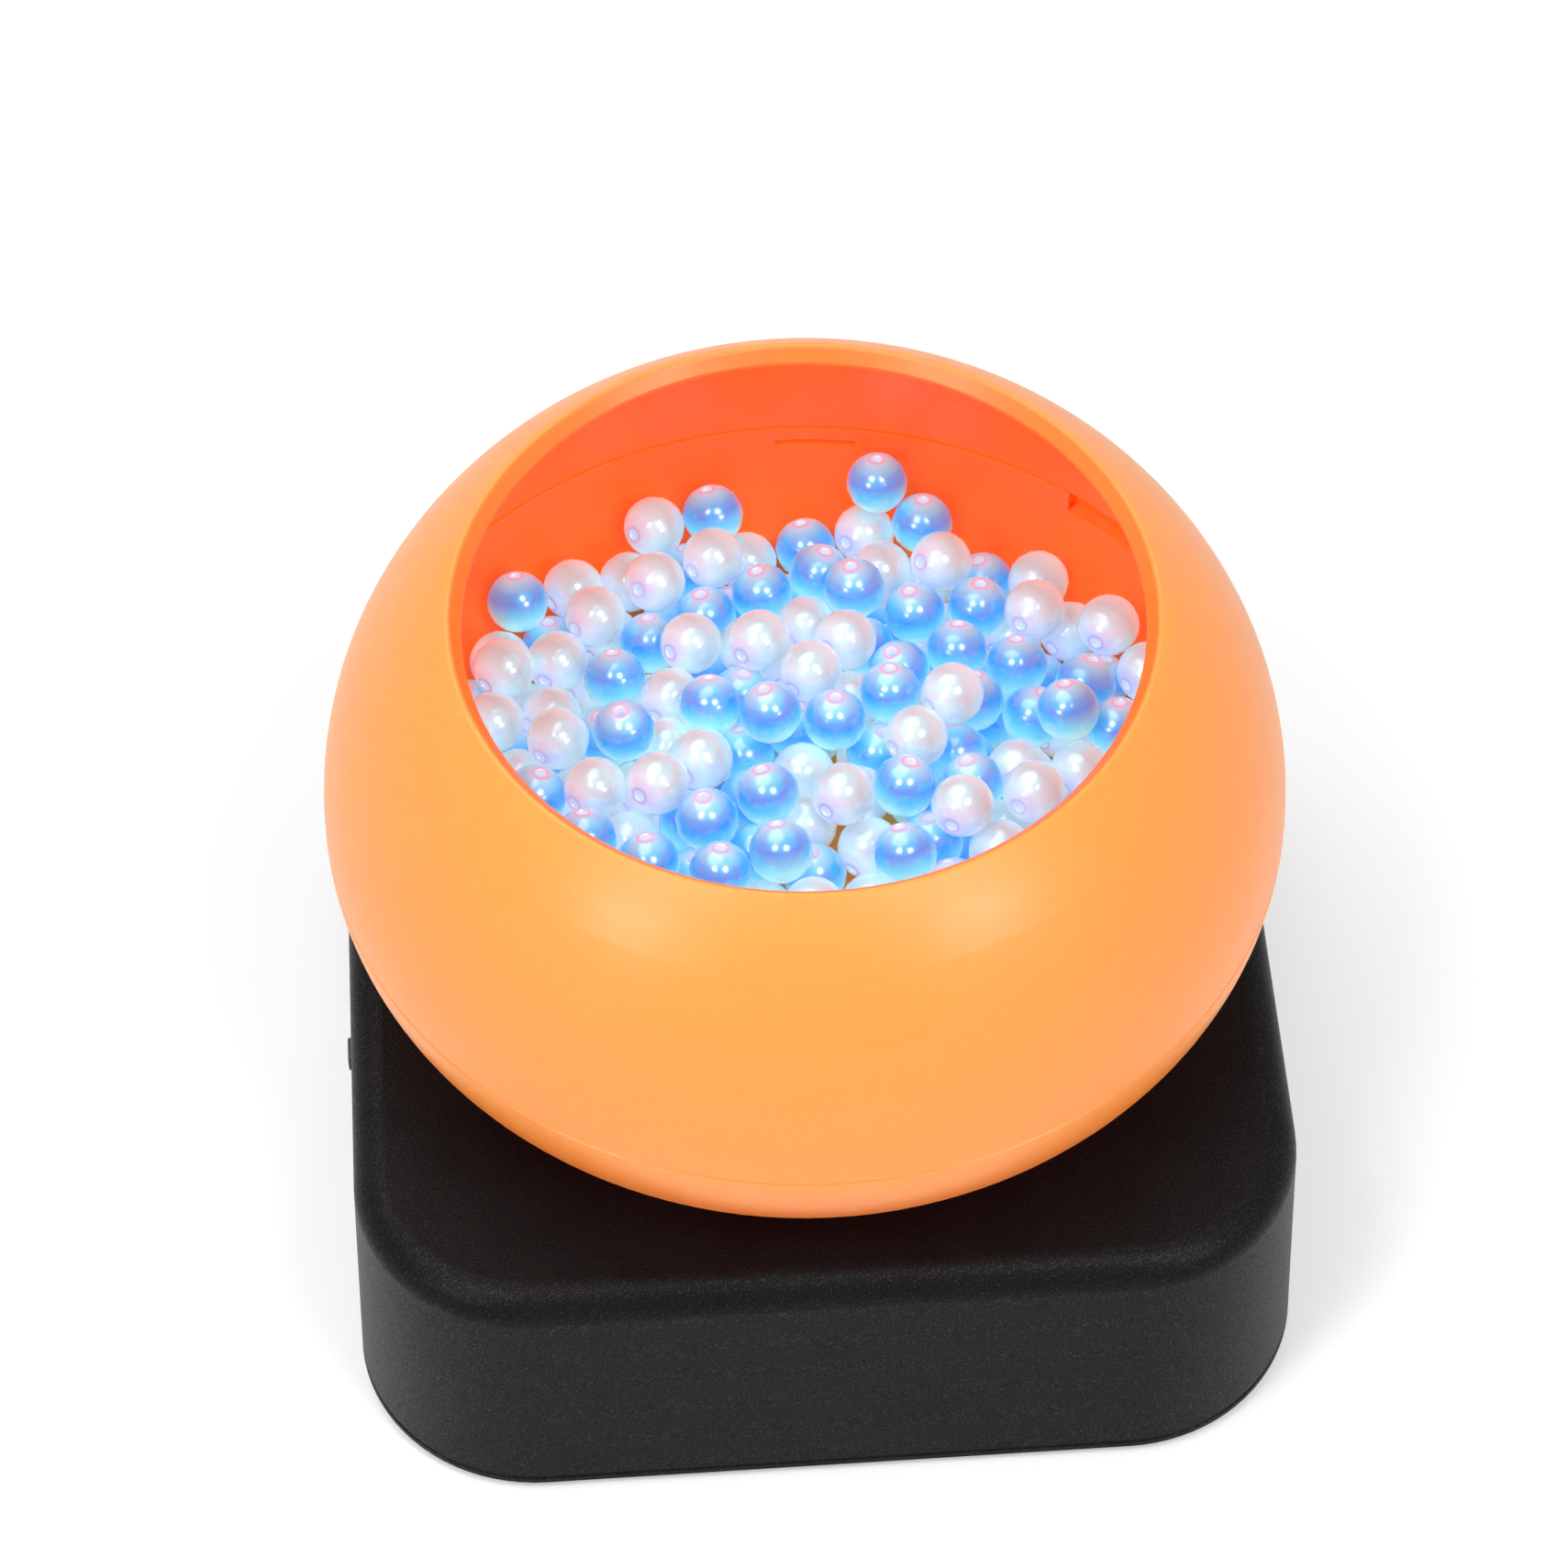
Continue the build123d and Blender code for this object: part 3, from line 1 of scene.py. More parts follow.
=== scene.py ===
import json
import math

import bmesh
import bpy
import numpy as np
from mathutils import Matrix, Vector


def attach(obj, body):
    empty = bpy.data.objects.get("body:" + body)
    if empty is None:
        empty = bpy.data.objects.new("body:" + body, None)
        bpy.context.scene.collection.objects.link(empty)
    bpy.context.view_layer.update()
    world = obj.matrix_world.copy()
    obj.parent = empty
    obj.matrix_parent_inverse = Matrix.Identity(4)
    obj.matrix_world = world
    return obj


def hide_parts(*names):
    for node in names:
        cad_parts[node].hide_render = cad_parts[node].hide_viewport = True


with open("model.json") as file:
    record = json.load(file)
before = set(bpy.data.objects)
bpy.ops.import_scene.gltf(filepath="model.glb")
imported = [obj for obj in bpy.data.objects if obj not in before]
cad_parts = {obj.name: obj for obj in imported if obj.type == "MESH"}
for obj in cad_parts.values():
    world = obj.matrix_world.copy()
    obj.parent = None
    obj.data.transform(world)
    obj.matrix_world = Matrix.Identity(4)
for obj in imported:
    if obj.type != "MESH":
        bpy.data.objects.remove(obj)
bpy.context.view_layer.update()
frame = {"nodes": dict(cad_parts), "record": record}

# An electric bead spinner on a pale studio floor: a black square base, an orange bowl
# that turns on it, and the loose pearl beads in the bowl. Metres and degrees.

MM = 0.001

# Camera: where it looks, from which side and how far away
CAMERA_TARGET = Vector((2.86, -0.2, 66.3)) * MM
CAMERA_AZIMUTH = -4.1
CAMERA_ELEVATION = 52.0
CAMERA_DISTANCE = 653.7 * MM
CAMERA_LENS = 120.9
CAMERA_SHIFT = (-0.0281, -0.0033)

# Lamps: name, azimuth from the front, elevation, distance, size, power
LAMPS = [
    ("soft_box_left", -46, 30, 0.75, 0.20, 1.2),
    ("soft_box_right", 40, 31, 0.75, 0.20, 1.3),
    ("high_box_left", -46, 58, 0.75, 0.26, 1.7),
    ("high_box_right", 36, 58, 0.75, 0.26, 1.7),
    ("overhead_sheet", -140, 68, 1.10, 1.10, 6.0),
    ("side_sheet_left", -105, 30, 1.10, 0.80, 0.25),
    ("side_sheet_right", 105, 30, 1.10, 0.80, 0.15),
]
LAMP_TARGET = Vector((0, 0, 60)) * MM
ROOM_GLOW = 0.28
FLOOR_SIZE = 3.0
FLOOR_DROP = 0.02 * MM
FLOOR_COLOUR = (0.80, 0.80, 0.80)
FLOOR_ROUGHNESS = 0.9

# The floor's glow in the picture: its least, and where it starts and ends its rise to white
FLOOR_GLOW = 0.22
FLOOR_NEAR = 0.35
FLOOR_FAR = 0.95

# How much a face that looks down takes the bowl's painted inner glow (deeper red and emission)
DOWN_SHARE = 1.0

# Moulded plastic: its faint clouds and its patches of gloss, each a size and a spread
CLOUD_SIZE, CLOUD_SPREAD = 12 * MM, 0.06
PATCH_SIZE, PATCH_SPREAD = 3 * MM, 0.05

# Machined metal: its stains, its polished and dull patches, and its fine lines
STAIN_SIZE, STAIN_SPREAD = 4 * MM, 0.10
WEAR_SIZE, WEAR_POLISH, WEAR_DULL = 2 * MM, 0.08, 0.12
LINE_SIZE, LINE_DEPTH = 0.4 * MM, 0.01 * MM

# Plain plastics and rubber: colour, roughness, size and depth of the mould's texture
MOULDED = {
    "foot_rubber": ((0.030, 0.030, 0.032), 0.80, 0.5 * MM, 0.05 * MM),
    "chassis_plastic": ((0.05, 0.05, 0.055), 0.50, 0.6 * MM, 0.02 * MM),
    "hub_plastic": ((0.016, 0.016, 0.017), 0.38, 0.5 * MM, 0.01 * MM),
    "door_plastic": ((0.012, 0.012, 0.012), 0.50, 0.4 * MM, 0.04 * MM),
    "component_plastic": ((0.02, 0.02, 0.021), 0.45, 0.4 * MM, 0.01 * MM),
    "lead_insulation": ((0.30, 0.02, 0.02), 0.42, 1.5 * MM, 0.02 * MM),
}

# Metals: colour, roughness, and how much closer the fine lines lie along X, Y and Z
MACHINED = {
    "screw_steel": ((0.30, 0.30, 0.31), 0.32, (1, 1, 6)),
    "spindle_steel": ((0.55, 0.55, 0.56), 0.22, (1, 1, 12)),
    "motor_steel": ((0.48, 0.48, 0.47), 0.34, (1, 1, 5)),
    "bronze": ((0.60, 0.36, 0.16), 0.36, (1, 1, 8)),
    "nickel": ((0.66, 0.64, 0.60), 0.20, (1, 6, 1)),
}

# Room for the beads inside the bowl, the same sizes as the bowl's own
SEAM_HEIGHT = 65.1 * MM
ROOM_RADIUS = 56.4 * MM
ROOM_DEPTH_AXIS = 33.6 * MM
ROOM_SLOPE = 33.4
FLOOR_HEIGHT = 46.6 * MM
DOME_TOP = 53.8 * MM
DOME_RADIUS = 11.8 * MM
DOME_SPREAD = 3.0 * MM
DOME_ROUND = 2.0 * MM
SKIRT_TOP = 68.3 * MM
CURVE_STEPS = 12

# Beads: their form, number and colours, and the way their bores point. BORE_SHARE is the
# bore's share of the bead's width, BORE_ROUND_SHARE says how far the bore's edge is rounded,
# and BEAD_SHADE darkens the coat under the beads' painted glow, an emission in their own
# colours that stands in for light.
BEAD_DIAMETER = 8.0 * MM
BORE_SHARE = 0.17
BORE_ROUND_SHARE = 0.04
BEAD_SIDES = 16
BEAD_RINGS = 8
BEAD_SHADE = (0.30, 0.54, 0.66)
# Painted glow: the beads give off light in their own colours, standing in for light on them.
BEAD_GLOW = 0.45
BEAD_COUNT = 290
BLUE_SHARE = 0.52
BEAD_SEED = 20
BLUE_AXIS = Vector((-0.03, 0.28, 0.96))
WHITE_AXIS = Vector((-0.66, -0.72, 0.16))
AXIS_SCATTER = 0.16

# Settling of the beads: how wide they start, how many rounds it takes, how far they sink and
# shake in a round as shares of a bead, and how much of an overlap one push takes away
START_SPREAD = 0.8
SETTLE_ROUNDS = 420
PUSHES_PER_ROUND = 2
BEAD_SINK = 0.05
BEAD_SHAKE = 0.03
PUSH_SHARE = 0.45
TINY = 1e-9


def lift(azimuth, elevation, distance, target):
    """A place seen from a target at an azimuth from the front and an elevation."""
    turn, rise = math.radians(azimuth), math.radians(elevation)
    level = math.cos(rise)
    out = Vector((math.sin(turn) * level, -math.cos(turn) * level, math.sin(rise)))
    return target + out * distance


def add_object(name, data):
    """Puts a named object in the scene."""
    thing = bpy.data.objects.new(name, data)
    bpy.context.scene.collection.objects.link(thing)
    return thing


# Finishes


class Finish:
    """A Principled material, its constant values set on the shader's own sockets."""

    def __init__(self, name, colour, roughness, **constants):
        self.material = bpy.data.materials.new(name)
        self.material.use_nodes = True
        self.tree = self.material.node_tree
        self.shader = self.tree.nodes["Principled BSDF"]
        self.shader.inputs["Base Color"].default_value = (*colour, 1)
        self.shader.inputs["Roughness"].default_value = roughness
        for socket, value in constants.items():
            self.shader.inputs[socket.replace("_", " ")].default_value = value

    def node(self, kind, **settings):
        """A new node with its properties set."""
        made = self.tree.nodes.new(kind)
        for key, value in settings.items():
            setattr(made, key, value)
        return made

    def wire(self, source, target):
        """Joins two sockets."""
        self.tree.links.new(source, target)

    def noise(self, size, detail=2.0, stretch=(1, 1, 1)):
        """Noise with features of a size in metres, on the piece's own coordinates."""
        place = self.node("ShaderNodeTexCoord")
        mapping = self.node("ShaderNodeMapping")
        mapping.inputs["Scale"].default_value = [axis / size for axis in stretch]
        grain = self.node("ShaderNodeTexNoise")
        grain.inputs["Scale"].default_value = 1
        grain.inputs["Detail"].default_value = detail
        self.wire(place.outputs["Object"], mapping.inputs["Vector"])
        self.wire(mapping.outputs["Vector"], grain.inputs["Vector"])
        return grain.outputs["Fac"]

    def inward(self):
        """How far the surface faces in or down: 0 away from the spindle's axis, 1 towards it."""
        place = self.node("ShaderNodeTexCoord")
        level = self.node("ShaderNodeVectorMath", operation="MULTIPLY")
        level.inputs[1].default_value = (-1, -1, 0)
        inner = self.node("ShaderNodeVectorMath", operation="NORMALIZE")
        aim = self.node("ShaderNodeVectorMath", operation="ADD")
        aim.inputs[1].default_value = (0, 0, -DOWN_SHARE)
        facing = self.node("ShaderNodeVectorMath", operation="DOT_PRODUCT")
        share = self.node("ShaderNodeMapRange")
        share.inputs["From Min"].default_value = -1
        self.wire(place.outputs["Object"], level.inputs[0])
        self.wire(level.outputs["Vector"], inner.inputs[0])
        self.wire(inner.outputs["Vector"], aim.inputs[0])
        self.wire(aim.outputs["Vector"], facing.inputs[0])
        self.wire(place.outputs["Normal"], facing.inputs[1])
        self.wire(facing.outputs["Value"], share.inputs["Value"])
        return share.outputs["Result"]

    def attribute(self, name):
        """A number that the mesh carries on its points."""
        return self.node("ShaderNodeAttribute", attribute_name=name).outputs["Fac"]

    def colours(self, value, stops, target="Base Color"):
        """Colours the surface by a value, from (place, colour) stops."""
        ramp = self.node("ShaderNodeValToRGB")
        elements = ramp.color_ramp.elements
        while len(elements) < len(stops):
            elements.new(0.5)
        for element, (place, colour) in zip(elements, stops):
            element.position = place
            element.color = (*colour, 1)
        self.wire(value, ramp.inputs["Fac"])
        self.wire(ramp.outputs["Color"], self.shader.inputs[target])
        return self

    def gloss(self, value, low, high):
        """Varies the roughness between two values."""
        spread = self.node("ShaderNodeMapRange")
        spread.inputs["To Min"].default_value = low
        spread.inputs["To Max"].default_value = high
        self.wire(value, spread.inputs["Value"])
        self.wire(spread.outputs["Result"], self.shader.inputs["Roughness"])
        return self

    def relief(self, value, depth):
        """Raises and lowers the surface by a value, up to a depth in metres."""
        bump = self.node("ShaderNodeBump")
        bump.inputs["Distance"].default_value = depth
        bump.inputs["Strength"].default_value = 1
        self.wire(value, bump.inputs["Height"])
        self.wire(bump.outputs["Normal"], self.shader.inputs["Normal"])
        return self


def shades(colour, spread):
    """A darker and a lighter shade of one colour, as ramp stops."""
    dark = tuple(c * (1 - spread) for c in colour)
    light = tuple(min(1.0, c * (1 + spread)) for c in colour)
    return [(0.3, dark), (0.7, light)]


def moulded(name, colour, roughness, grain_size, grain_depth, **constants):
    """Moulded plastic: slight cloudiness, uneven gloss and the mould's fine texture."""
    finish = Finish(name, colour, roughness, **constants)
    finish.colours(finish.noise(CLOUD_SIZE), shades(colour, CLOUD_SPREAD))
    finish.gloss(finish.noise(PATCH_SIZE), roughness - PATCH_SPREAD, roughness + PATCH_SPREAD)
    finish.relief(finish.noise(grain_size, detail=3), grain_depth)
    return finish.material


def machined(name, colour, roughness, stretch):
    """Turned or rolled metal: fine lines one way and a few dull patches."""
    finish = Finish(name, colour, roughness, Metallic=1.0)
    finish.colours(finish.noise(STAIN_SIZE), shades(colour, STAIN_SPREAD))
    wear = finish.noise(WEAR_SIZE, detail=4)
    finish.gloss(wear, roughness - WEAR_POLISH, roughness + WEAR_DULL)
    finish.relief(finish.noise(LINE_SIZE, detail=3, stretch=stretch), LINE_DEPTH)
    return finish.material


def bowl_plastic():
    """Satin orange plastic that lets some light through, with a painted glow on its inner side: a
    deeper red and an emission that stand in for light coming through the wall.
    """
    finish = Finish(
        "bowl_plastic", colour=(0.98, 0.30, 0.05), roughness=0.40, Emission_Strength=0.45,
        Subsurface_Weight=0.5, Subsurface_Radius=(1.0, 0.28, 0.08), Subsurface_Scale=3.0 * MM,
    )
    # Painted glow: faces that look in or down take a deeper red and give off red light, standing in
    # for light through the wall.
    side = finish.inward()
    finish.colours(side, [
        (0.04, (0.98, 0.31, 0.050)), (0.30, (0.98, 0.22, 0.030)),
        (0.52, (0.98, 0.22, 0.030)), (0.70, (0.97, 0.14, 0.008)),
    ])
    finish.colours(side, [(0.44, (0, 0, 0)), (0.68, (1.0, 0.085, 0.004))], "Emission Color")
    finish.gloss(finish.noise(PATCH_SIZE), low=0.32, high=0.40)
    finish.relief(finish.noise(size=0.35 * MM, detail=3), depth=0.004 * MM)
    return finish.material


def base_plastic():
    """Black moulded plastic with a spark-eroded texture."""
    colour = (0.0055, 0.0050, 0.0055)
    finish = Finish("base_plastic", colour, roughness=0.38, IOR=1.3)
    finish.colours(finish.noise(size=9 * MM), shades(colour, spread=0.15))
    glints = [(0.52, (0.14, 0.14, 0.14)), (0.72, (0.60, 0.60, 0.60))]
    finish.colours(finish.noise(size=0.24 * MM), glints, "Specular IOR Level")
    finish.gloss(finish.noise(size=0.5 * MM, detail=3), low=0.30, high=0.50)
    finish.relief(finish.noise(size=0.30 * MM, detail=3), depth=0.03 * MM)
    return finish.material


def natural_nylon():
    """Milky nylon that lets some light through."""
    return moulded(
        "natural_nylon", (0.78, 0.76, 0.68), roughness=0.40, grain_size=0.8 * MM,
        grain_depth=0.01 * MM, Subsurface_Weight=0.4, Subsurface_Radius=(1.0, 0.9, 0.7),
        Subsurface_Scale=1.0 * MM,
    )


def cell_jacket():
    """Shrink sleeve of a battery cell: grey and glossy."""
    return moulded(
        "cell_jacket", (0.10, 0.12, 0.14), roughness=0.30, grain_size=2.0 * MM,
        grain_depth=0.01 * MM, Coat_Weight=0.3,
    )


def board_laminate():
    """Circuit board under green lacquer, its tracks faintly raised."""
    colour = (0.010, 0.14, 0.045)
    finish = Finish("board_laminate", colour, roughness=0.30, Coat_Weight=0.4)
    tracks = finish.noise(size=1.6 * MM, detail=0, stretch=(1, 0.15, 1))
    finish.colours(tracks, [(0.47, colour), (0.53, (0.02, 0.22, 0.07))])
    finish.relief(tracks, depth=0.03 * MM)
    return finish.material


def pearl(name, stops):
    """Pearl-coated bead, coloured along its bore, with a thin bright film on top and a painted glow
    in the same colours that stands in for light.
    """
    finish = Finish(
        name, stops[0][1], roughness=0.32, Coat_Weight=1.0, Coat_Roughness=0.20, Coat_IOR=2.0,
        Specular_IOR_Level=0.3, Sheen_Weight=0.35, Sheen_Roughness=0.4,
        Emission_Strength=BEAD_GLOW,
    )
    along = finish.attribute("along_bore")
    coat = [(place, tuple(c * s for c, s in zip(colour, BEAD_SHADE))) for place, colour in stops]
    finish.colours(along, coat)
    # Painted glow: the emission takes the bead's own colours along the bore.
    finish.colours(along, stops, "Emission Color")
    finish.relief(finish.noise(size=0.6 * MM), depth=0.004 * MM)
    return finish.material


def bead_blue():
    """Cyan to deep blue, with a pink end round the bore."""
    return pearl("bead_blue", [
        (0.00, (0.62, 1.00, 1.00)), (0.30, (0.50, 1.00, 1.00)), (0.50, (0.18, 0.70, 1.00)),
        (0.69, (0.03, 0.35, 0.96)), (0.82, (0.07, 0.46, 0.95)), (0.92, (0.30, 0.70, 0.98)),
        (0.97, (0.56, 0.78, 0.98)), (0.985, (1.00, 0.50, 0.80)), (0.995, (1.00, 0.84, 0.90)),
    ])


def bead_white():
    """Pale cyan to warm white, with a painted grey band across the middle that stands in for a
    reflection of dark surroundings, and a lilac end round the bore.
    """
    return pearl("bead_white", [
        # Painted reflection: the grey stops from 0.38 to 0.76 stand in for dark surroundings
        # mirrored across the bead's middle.
        (0.00, (0.66, 0.98, 1.00)), (0.20, (0.84, 0.98, 1.00)), (0.38, (0.80, 0.84, 0.86)),
        (0.58, (0.68, 0.70, 0.71)), (0.76, (0.76, 0.82, 0.86)), (0.88, (0.90, 0.92, 1.00)),
        (0.97, (0.92, 0.80, 0.98)), (0.985, (0.72, 0.54, 0.90)), (0.995, (0.90, 0.86, 1.00)),
    ])


SPECIAL = {
    "base_plastic": base_plastic,
    "bowl_plastic": bowl_plastic,
    "natural_nylon": natural_nylon,
    "cell_jacket": cell_jacket,
    "board_laminate": board_laminate,
    "bead_blue": bead_blue,
    "bead_white": bead_white,
}


def make_finishes():
    """The material of every slot, by the slot's name."""
    finishes = {name: make() for name, make in SPECIAL.items()}
    for name, values in MOULDED.items():
        finishes[name] = moulded(name, *values)
    for name, values in MACHINED.items():
        finishes[name] = machined(name, *values)
    return finishes


def dress_nodes(finishes):
    """Gives each CAD node the finish of its slot."""
    for row in frame["record"]["subparts"]:
        node = frame["nodes"][row["node"]]
        for place in node.material_slots:
            place.material = finishes[row["material_slot"]]


# Beads


def bowl_profile():
    """Inner side of the lower bowl as (radius, height) points, from the axis to the skirt's top."""
    fall = (DOME_TOP - FLOOR_HEIGHT) / DOME_SPREAD
    points = [
        (0, DOME_TOP),
        (DOME_RADIUS - DOME_ROUND, DOME_TOP),
        (DOME_RADIUS + DOME_ROUND / (2 * fall), DOME_TOP - DOME_ROUND / 2),
        (DOME_RADIUS + DOME_SPREAD, FLOOR_HEIGHT),
    ]
    slope = math.radians(ROOM_SLOPE)
    turn = math.atan2(ROOM_DEPTH_AXIS * math.tan(slope), ROOM_RADIUS)
    end = (ROOM_RADIUS * math.cos(turn), SEAM_HEIGHT - ROOM_DEPTH_AXIS * math.sin(turn))
    bend = math.pi / 2 - slope
    radius = (end[1] - FLOOR_HEIGHT) / (1 - math.cos(bend))
    centre = (end[0] - radius * math.sin(bend), FLOOR_HEIGHT + radius)
    for i in range(CURVE_STEPS + 1):
        a = bend * i / CURVE_STEPS
        points.append((centre[0] + radius * math.sin(a), centre[1] - radius * math.cos(a)))
    for i in range(1, CURVE_STEPS + 1):
        a = turn * (1 - i / CURVE_STEPS)
        points.append((ROOM_RADIUS * math.cos(a), SEAM_HEIGHT - ROOM_DEPTH_AXIS * math.sin(a)))
    points.append((ROOM_RADIUS, SKIRT_TOP))
    return np.array(points)


def keep_inside(place, profile):
    """Moves bead centres that are too near the bowl's wall to a radius from it."""
    radius = BEAD_DIAMETER / 2
    flat = np.stack([np.hypot(place[:, 0], place[:, 1]), place[:, 2]], 1)
    start, step = profile[:-1], np.diff(profile, axis=0)
    length = np.einsum("ij,ij->i", step, step)
    away = flat[:, None] - start[None]
    share = np.clip(np.einsum("nij,ij->ni", away, step) / length, 0, 1)
    nearest = start[None] + share[..., None] * step[None]
    off = flat[:, None] - nearest
    far = np.linalg.norm(off, axis=2)
    best = far.argmin(1)
    rows = np.arange(len(place))
    along = step[best] / np.sqrt(length[best])[:, None]
    inward = np.stack([-along[:, 1], along[:, 0]], 1)
    depth = np.einsum("ij,ij->i", off[rows, best], inward)
    direct = off[rows, best] / np.maximum(far[rows, best], TINY)[:, None]
    push = np.where((depth > 0)[:, None], direct * (radius - far[rows, best])[:, None],
                    inward * (radius - depth)[:, None])
    push[far[rows, best] * np.sign(depth) >= radius] = 0
    around = place[:, :2] / np.maximum(flat[:, :1], TINY)
    place[:, :2] += around * push[:, :1]
    place[:, 2] += push[:, 1]


def push_apart(place):
    """Moves overlapping beads away from one another."""
    gap = place[:, None] - place[None]
    far = np.linalg.norm(gap, axis=2)
    np.fill_diagonal(far, 1.0)
    lap = np.clip(BEAD_DIAMETER - far, 0, None)
    place += PUSH_SHARE * np.einsum("ij,ijk->ik", lap / np.maximum(far, TINY), gap)


def settled_beads():
    """Centres of the beads after they have sunk into the bowl under their weight."""
    random = np.random.default_rng(BEAD_SEED)
    profile = bowl_profile()
    turn = random.uniform(0, 2 * math.pi, BEAD_COUNT)
    reach = np.sqrt(random.uniform(0, 1, BEAD_COUNT)) * START_SPREAD * ROOM_RADIUS
    low, high = SEAM_HEIGHT - BEAD_DIAMETER, SEAM_HEIGHT + 3 * BEAD_DIAMETER
    height = random.uniform(low, high, BEAD_COUNT)
    place = np.stack([reach * np.cos(turn), reach * np.sin(turn), height], 1)
    for i in range(SETTLE_ROUNDS):
        calm = BEAD_DIAMETER * (1 - i / SETTLE_ROUNDS)
        place[:, 2] -= BEAD_SINK * calm
        place += random.normal(0, BEAD_SHAKE * calm, place.shape)
        for _ in range(PUSHES_PER_ROUND):
            push_apart(place)
            keep_inside(place, profile)
    return place


def bead_form():
    """One bead of unit diameter, its bore along Z, with the share along the bore on its points."""
    bore = BORE_SHARE / 2
    mesh = bpy.data.meshes.new("bead_form")
    form = bmesh.new()
    edge = math.asin(2 * bore) + BORE_ROUND_SHARE
    mouth = 0.5 * math.cos(edge) - BORE_ROUND_SHARE / 2
    rings = [(bore, mouth - BORE_SHARE, 1.0), (bore, mouth, 1.0)]
    lip = edge + BORE_SHARE
    turns = [edge] + [lip + (math.pi - 2 * lip) * i / (BEAD_RINGS - 1) for i in range(BEAD_RINGS)]
    for a in turns + [math.pi - edge]:
        rings.append((0.5 * math.sin(a), 0.5 * math.cos(a), 0.5 + 0.5 * math.cos(a)))
    rings += [(bore, -mouth, 0.0), (bore, BORE_SHARE - mouth, 0.0)]
    angles = [2 * math.pi * i / BEAD_SIDES for i in range(BEAD_SIDES)]
    spokes = [(math.cos(a), math.sin(a)) for a in angles]
    circles = []
    for radius, height, _ in rings:
        circles.append([form.verts.new((radius * x, radius * y, height)) for x, y in spokes])
    for upper, lower in zip(circles, circles[1:] + circles[:1]):
        for i in range(BEAD_SIDES):
            j = (i + 1) % BEAD_SIDES
            form.faces.new((upper[i], lower[i], lower[j], upper[j])).smooth = True
    form.to_mesh(mesh)
    form.free()
    along = mesh.attributes.new("along_bore", "FLOAT", "POINT")
    along.data.foreach_set("value", [share for _, _, share in rings for _ in range(BEAD_SIDES)])
    return mesh


def scatter_tree(form, material):
    """Geometry nodes that put a bead on each point, turned by the point's own angles."""
    tree = bpy.data.node_groups.new("beads_on_points", "GeometryNodeTree")
    sockets = tree.interface
    sockets.new_socket("Geometry", in_out="INPUT", socket_type="NodeSocketGeometry")
    diameter = sockets.new_socket("Bead diameter", in_out="INPUT", socket_type="NodeSocketFloat")
    sockets.new_socket("Geometry", in_out="OUTPUT", socket_type="NodeSocketGeometry")
    nodes, links = tree.nodes, tree.links
    given = nodes.new("NodeGroupInput")
    result = nodes.new("NodeGroupOutput")
    bead = nodes.new("GeometryNodeObjectInfo")
    bead.inputs["Object"].default_value = form
    turn = nodes.new("GeometryNodeInputNamedAttribute")
    turn.data_type = "FLOAT_VECTOR"
    turn.inputs["Name"].default_value = "bore_turn"
    place = nodes.new("GeometryNodeInstanceOnPoints")
    real = nodes.new("GeometryNodeRealizeInstances")
    coat = nodes.new("GeometryNodeSetMaterial")
    coat.inputs["Material"].default_value = material
    links.new(given.outputs["Geometry"], place.inputs["Points"])
    links.new(bead.outputs["Geometry"], place.inputs["Instance"])
    links.new(turn.outputs["Attribute"], place.inputs["Rotation"])
    links.new(given.outputs["Bead diameter"], place.inputs["Scale"])
    links.new(place.outputs["Instances"], real.inputs["Geometry"])
    links.new(real.outputs["Geometry"], coat.inputs["Geometry"])
    links.new(coat.outputs["Geometry"], result.inputs["Geometry"])
    return tree, diameter.identifier


def bead_turns(count, axis, seed):
    """Angles that point each bead's bore roughly along an axis."""
    random = np.random.default_rng(seed)
    turns = []
    for lean in random.normal(0, AXIS_SCATTER, (count, 3)):
        aim = (axis.normalized() + Vector(lean)).normalized()
        turns.append(aim.to_track_quat("Z", "Y").to_euler())
    return turns


def beads(name, places, axis, seed, material, node):
    """One colour of beads as one plain mesh that turns with the bowl, for the CAD's plain rings."""
    points = bpy.data.meshes.new(name)
    points.from_pydata([tuple(p) for p in places], [], [])
    turn = points.attributes.new("bore_turn", "FLOAT_VECTOR", "POINT")
    turn.data.foreach_set("vector", [a for t in bead_turns(len(places), axis, seed) for a in t])
    holder = add_object(name + "_points", points)
    form = add_object("bead_form", bead_form())
    tree, diameter = scatter_tree(form, material)
    modifier = holder.modifiers.new("beads", "NODES")
    modifier.node_group = tree
    modifier[diameter] = BEAD_DIAMETER
    graph = bpy.context.evaluated_depsgraph_get()
    mesh = bpy.data.meshes.new_from_object(holder.evaluated_get(graph), depsgraph=graph)
    bpy.data.objects.remove(holder)
    bpy.data.objects.remove(form)
    piece = add_object(name, mesh)
    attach(piece, "bowl")
    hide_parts(node)


def fill_bowl(finishes):
    """Blue and white beads, mixed at random, in the bowl."""
    places = settled_beads()
    blue = np.random.default_rng(BEAD_SEED + 1).uniform(0, 1, BEAD_COUNT) < BLUE_SHARE
    beads("blue_pearls", places[blue], BLUE_AXIS, BEAD_SEED + 2, finishes["bead_blue"],
          "blue_beads")
    beads("white_pearls", places[~blue], WHITE_AXIS, BEAD_SEED + 3, finishes["bead_white"],
          "white_beads")


# Studio


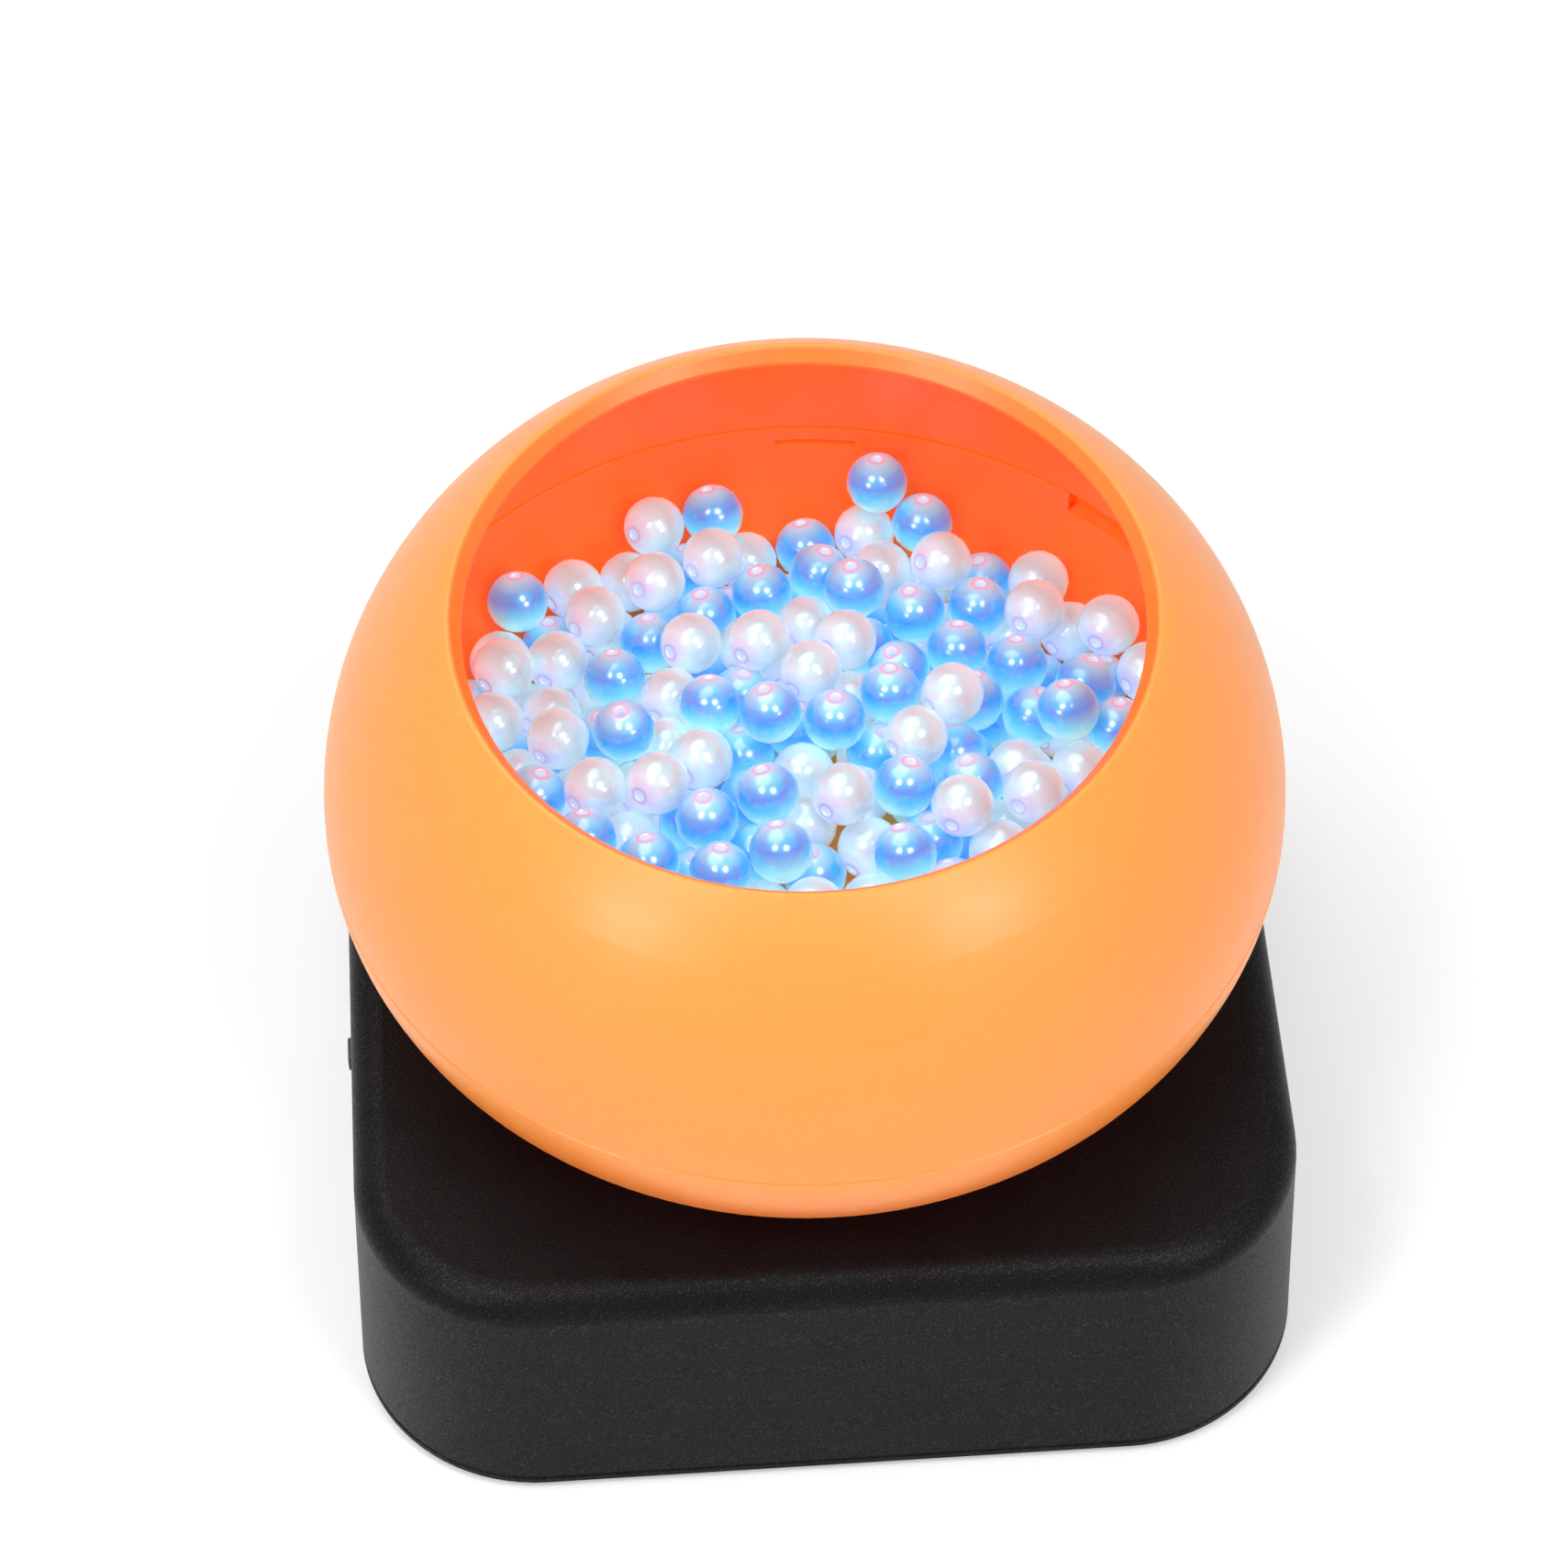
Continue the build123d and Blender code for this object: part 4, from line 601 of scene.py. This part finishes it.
def bright_where_seen(tree, seen, unseen, target):
    """Wires a strength that differs where the camera, gloss or glass looks to a target socket.

    The seen strength is a number, or a socket that gives one."""
    path = tree.nodes.new("ShaderNodeLightPath")
    either = path.outputs["Is Camera Ray"]
    for ray in ("Is Glossy Ray", "Is Transmission Ray"):
        larger = tree.nodes.new("ShaderNodeMath")
        larger.operation = "MAXIMUM"
        tree.links.new(either, larger.inputs[0])
        tree.links.new(path.outputs[ray], larger.inputs[1])
        either = larger.outputs[0]
    spread = tree.nodes.new("ShaderNodeMapRange")
    spread.inputs["To Min"].default_value = unseen
    if isinstance(seen, bpy.types.NodeSocket):
        tree.links.new(seen, spread.inputs["To Max"])
    else:
        spread.inputs["To Max"].default_value = seen
    tree.links.new(either, spread.inputs["Value"])
    tree.links.new(spread.outputs["Result"], target)


def make_room():
    """White surroundings with a soft glow."""
    world = bpy.data.worlds.new("room")
    world.use_nodes = True
    sky = world.node_tree.nodes["Background"]
    sky.inputs["Color"].default_value = (1, 1, 1, 1)
    bright_where_seen(world.node_tree, 1.0, ROOM_GLOW, sky.inputs["Strength"])
    bpy.context.scene.world = world


def make_floor():
    """Pale floor that keeps the object's shadow and turns white farther away."""
    mesh = bpy.data.meshes.new("floor")
    half = FLOOR_SIZE / 2
    corners = [(x * half, y * half, -FLOOR_DROP) for x, y in ((-1, -1), (1, -1), (1, 1), (-1, 1))]
    mesh.from_pydata(corners, [], [(0, 1, 2, 3)])
    floor = add_object("floor", mesh)
    finish = Finish(
        "floor_paper", FLOOR_COLOUR, FLOOR_ROUGHNESS, Specular_IOR_Level=0.0,
        Emission_Color=(1, 1, 1, 1),
    )
    place = finish.node("ShaderNodeTexCoord")
    away = finish.node("ShaderNodeVectorMath", operation="LENGTH")
    rise = finish.node("ShaderNodeMapRange", interpolation_type="SMOOTHSTEP")
    rise.inputs["From Min"].default_value = FLOOR_NEAR
    rise.inputs["From Max"].default_value = FLOOR_FAR
    rise.inputs["To Min"].default_value = FLOOR_GLOW
    finish.wire(place.outputs["Object"], away.inputs[0])
    finish.wire(away.outputs["Value"], rise.inputs["Value"])
    glow = finish.shader.inputs["Emission Strength"]
    bright_where_seen(finish.tree, rise.outputs["Result"], 0.0, glow)
    mesh.materials.append(finish.material)


def make_lamps():
    """Soft boxes and sheets round the object."""
    for name, azimuth, elevation, distance, size, power in LAMPS:
        data = bpy.data.lights.new(name, "AREA")
        data.shape = "DISK"
        data.size = size
        data.energy = power
        lamp = add_object(name, data)
        lamp.location = lift(azimuth, elevation, distance, LAMP_TARGET)
        lamp.rotation_euler = (LAMP_TARGET - lamp.location).to_track_quat("-Z", "Y").to_euler()


def make_camera():
    """Camera at the photograph's viewing angle."""
    data = bpy.data.cameras.new("camera")
    data.lens = CAMERA_LENS
    data.shift_x, data.shift_y = CAMERA_SHIFT
    camera = add_object("camera", data)
    camera.location = lift(CAMERA_AZIMUTH, CAMERA_ELEVATION, CAMERA_DISTANCE, CAMERA_TARGET)
    camera.rotation_euler = (math.radians(90 - CAMERA_ELEVATION), 0, math.radians(CAMERA_AZIMUTH))
    bpy.context.scene.camera = camera


slot_finishes = make_finishes()
dress_nodes(slot_finishes)
fill_bowl(slot_finishes)
make_room()
make_floor()
make_lamps()
make_camera()
bpy.context.scene.view_settings.view_transform = "Standard"
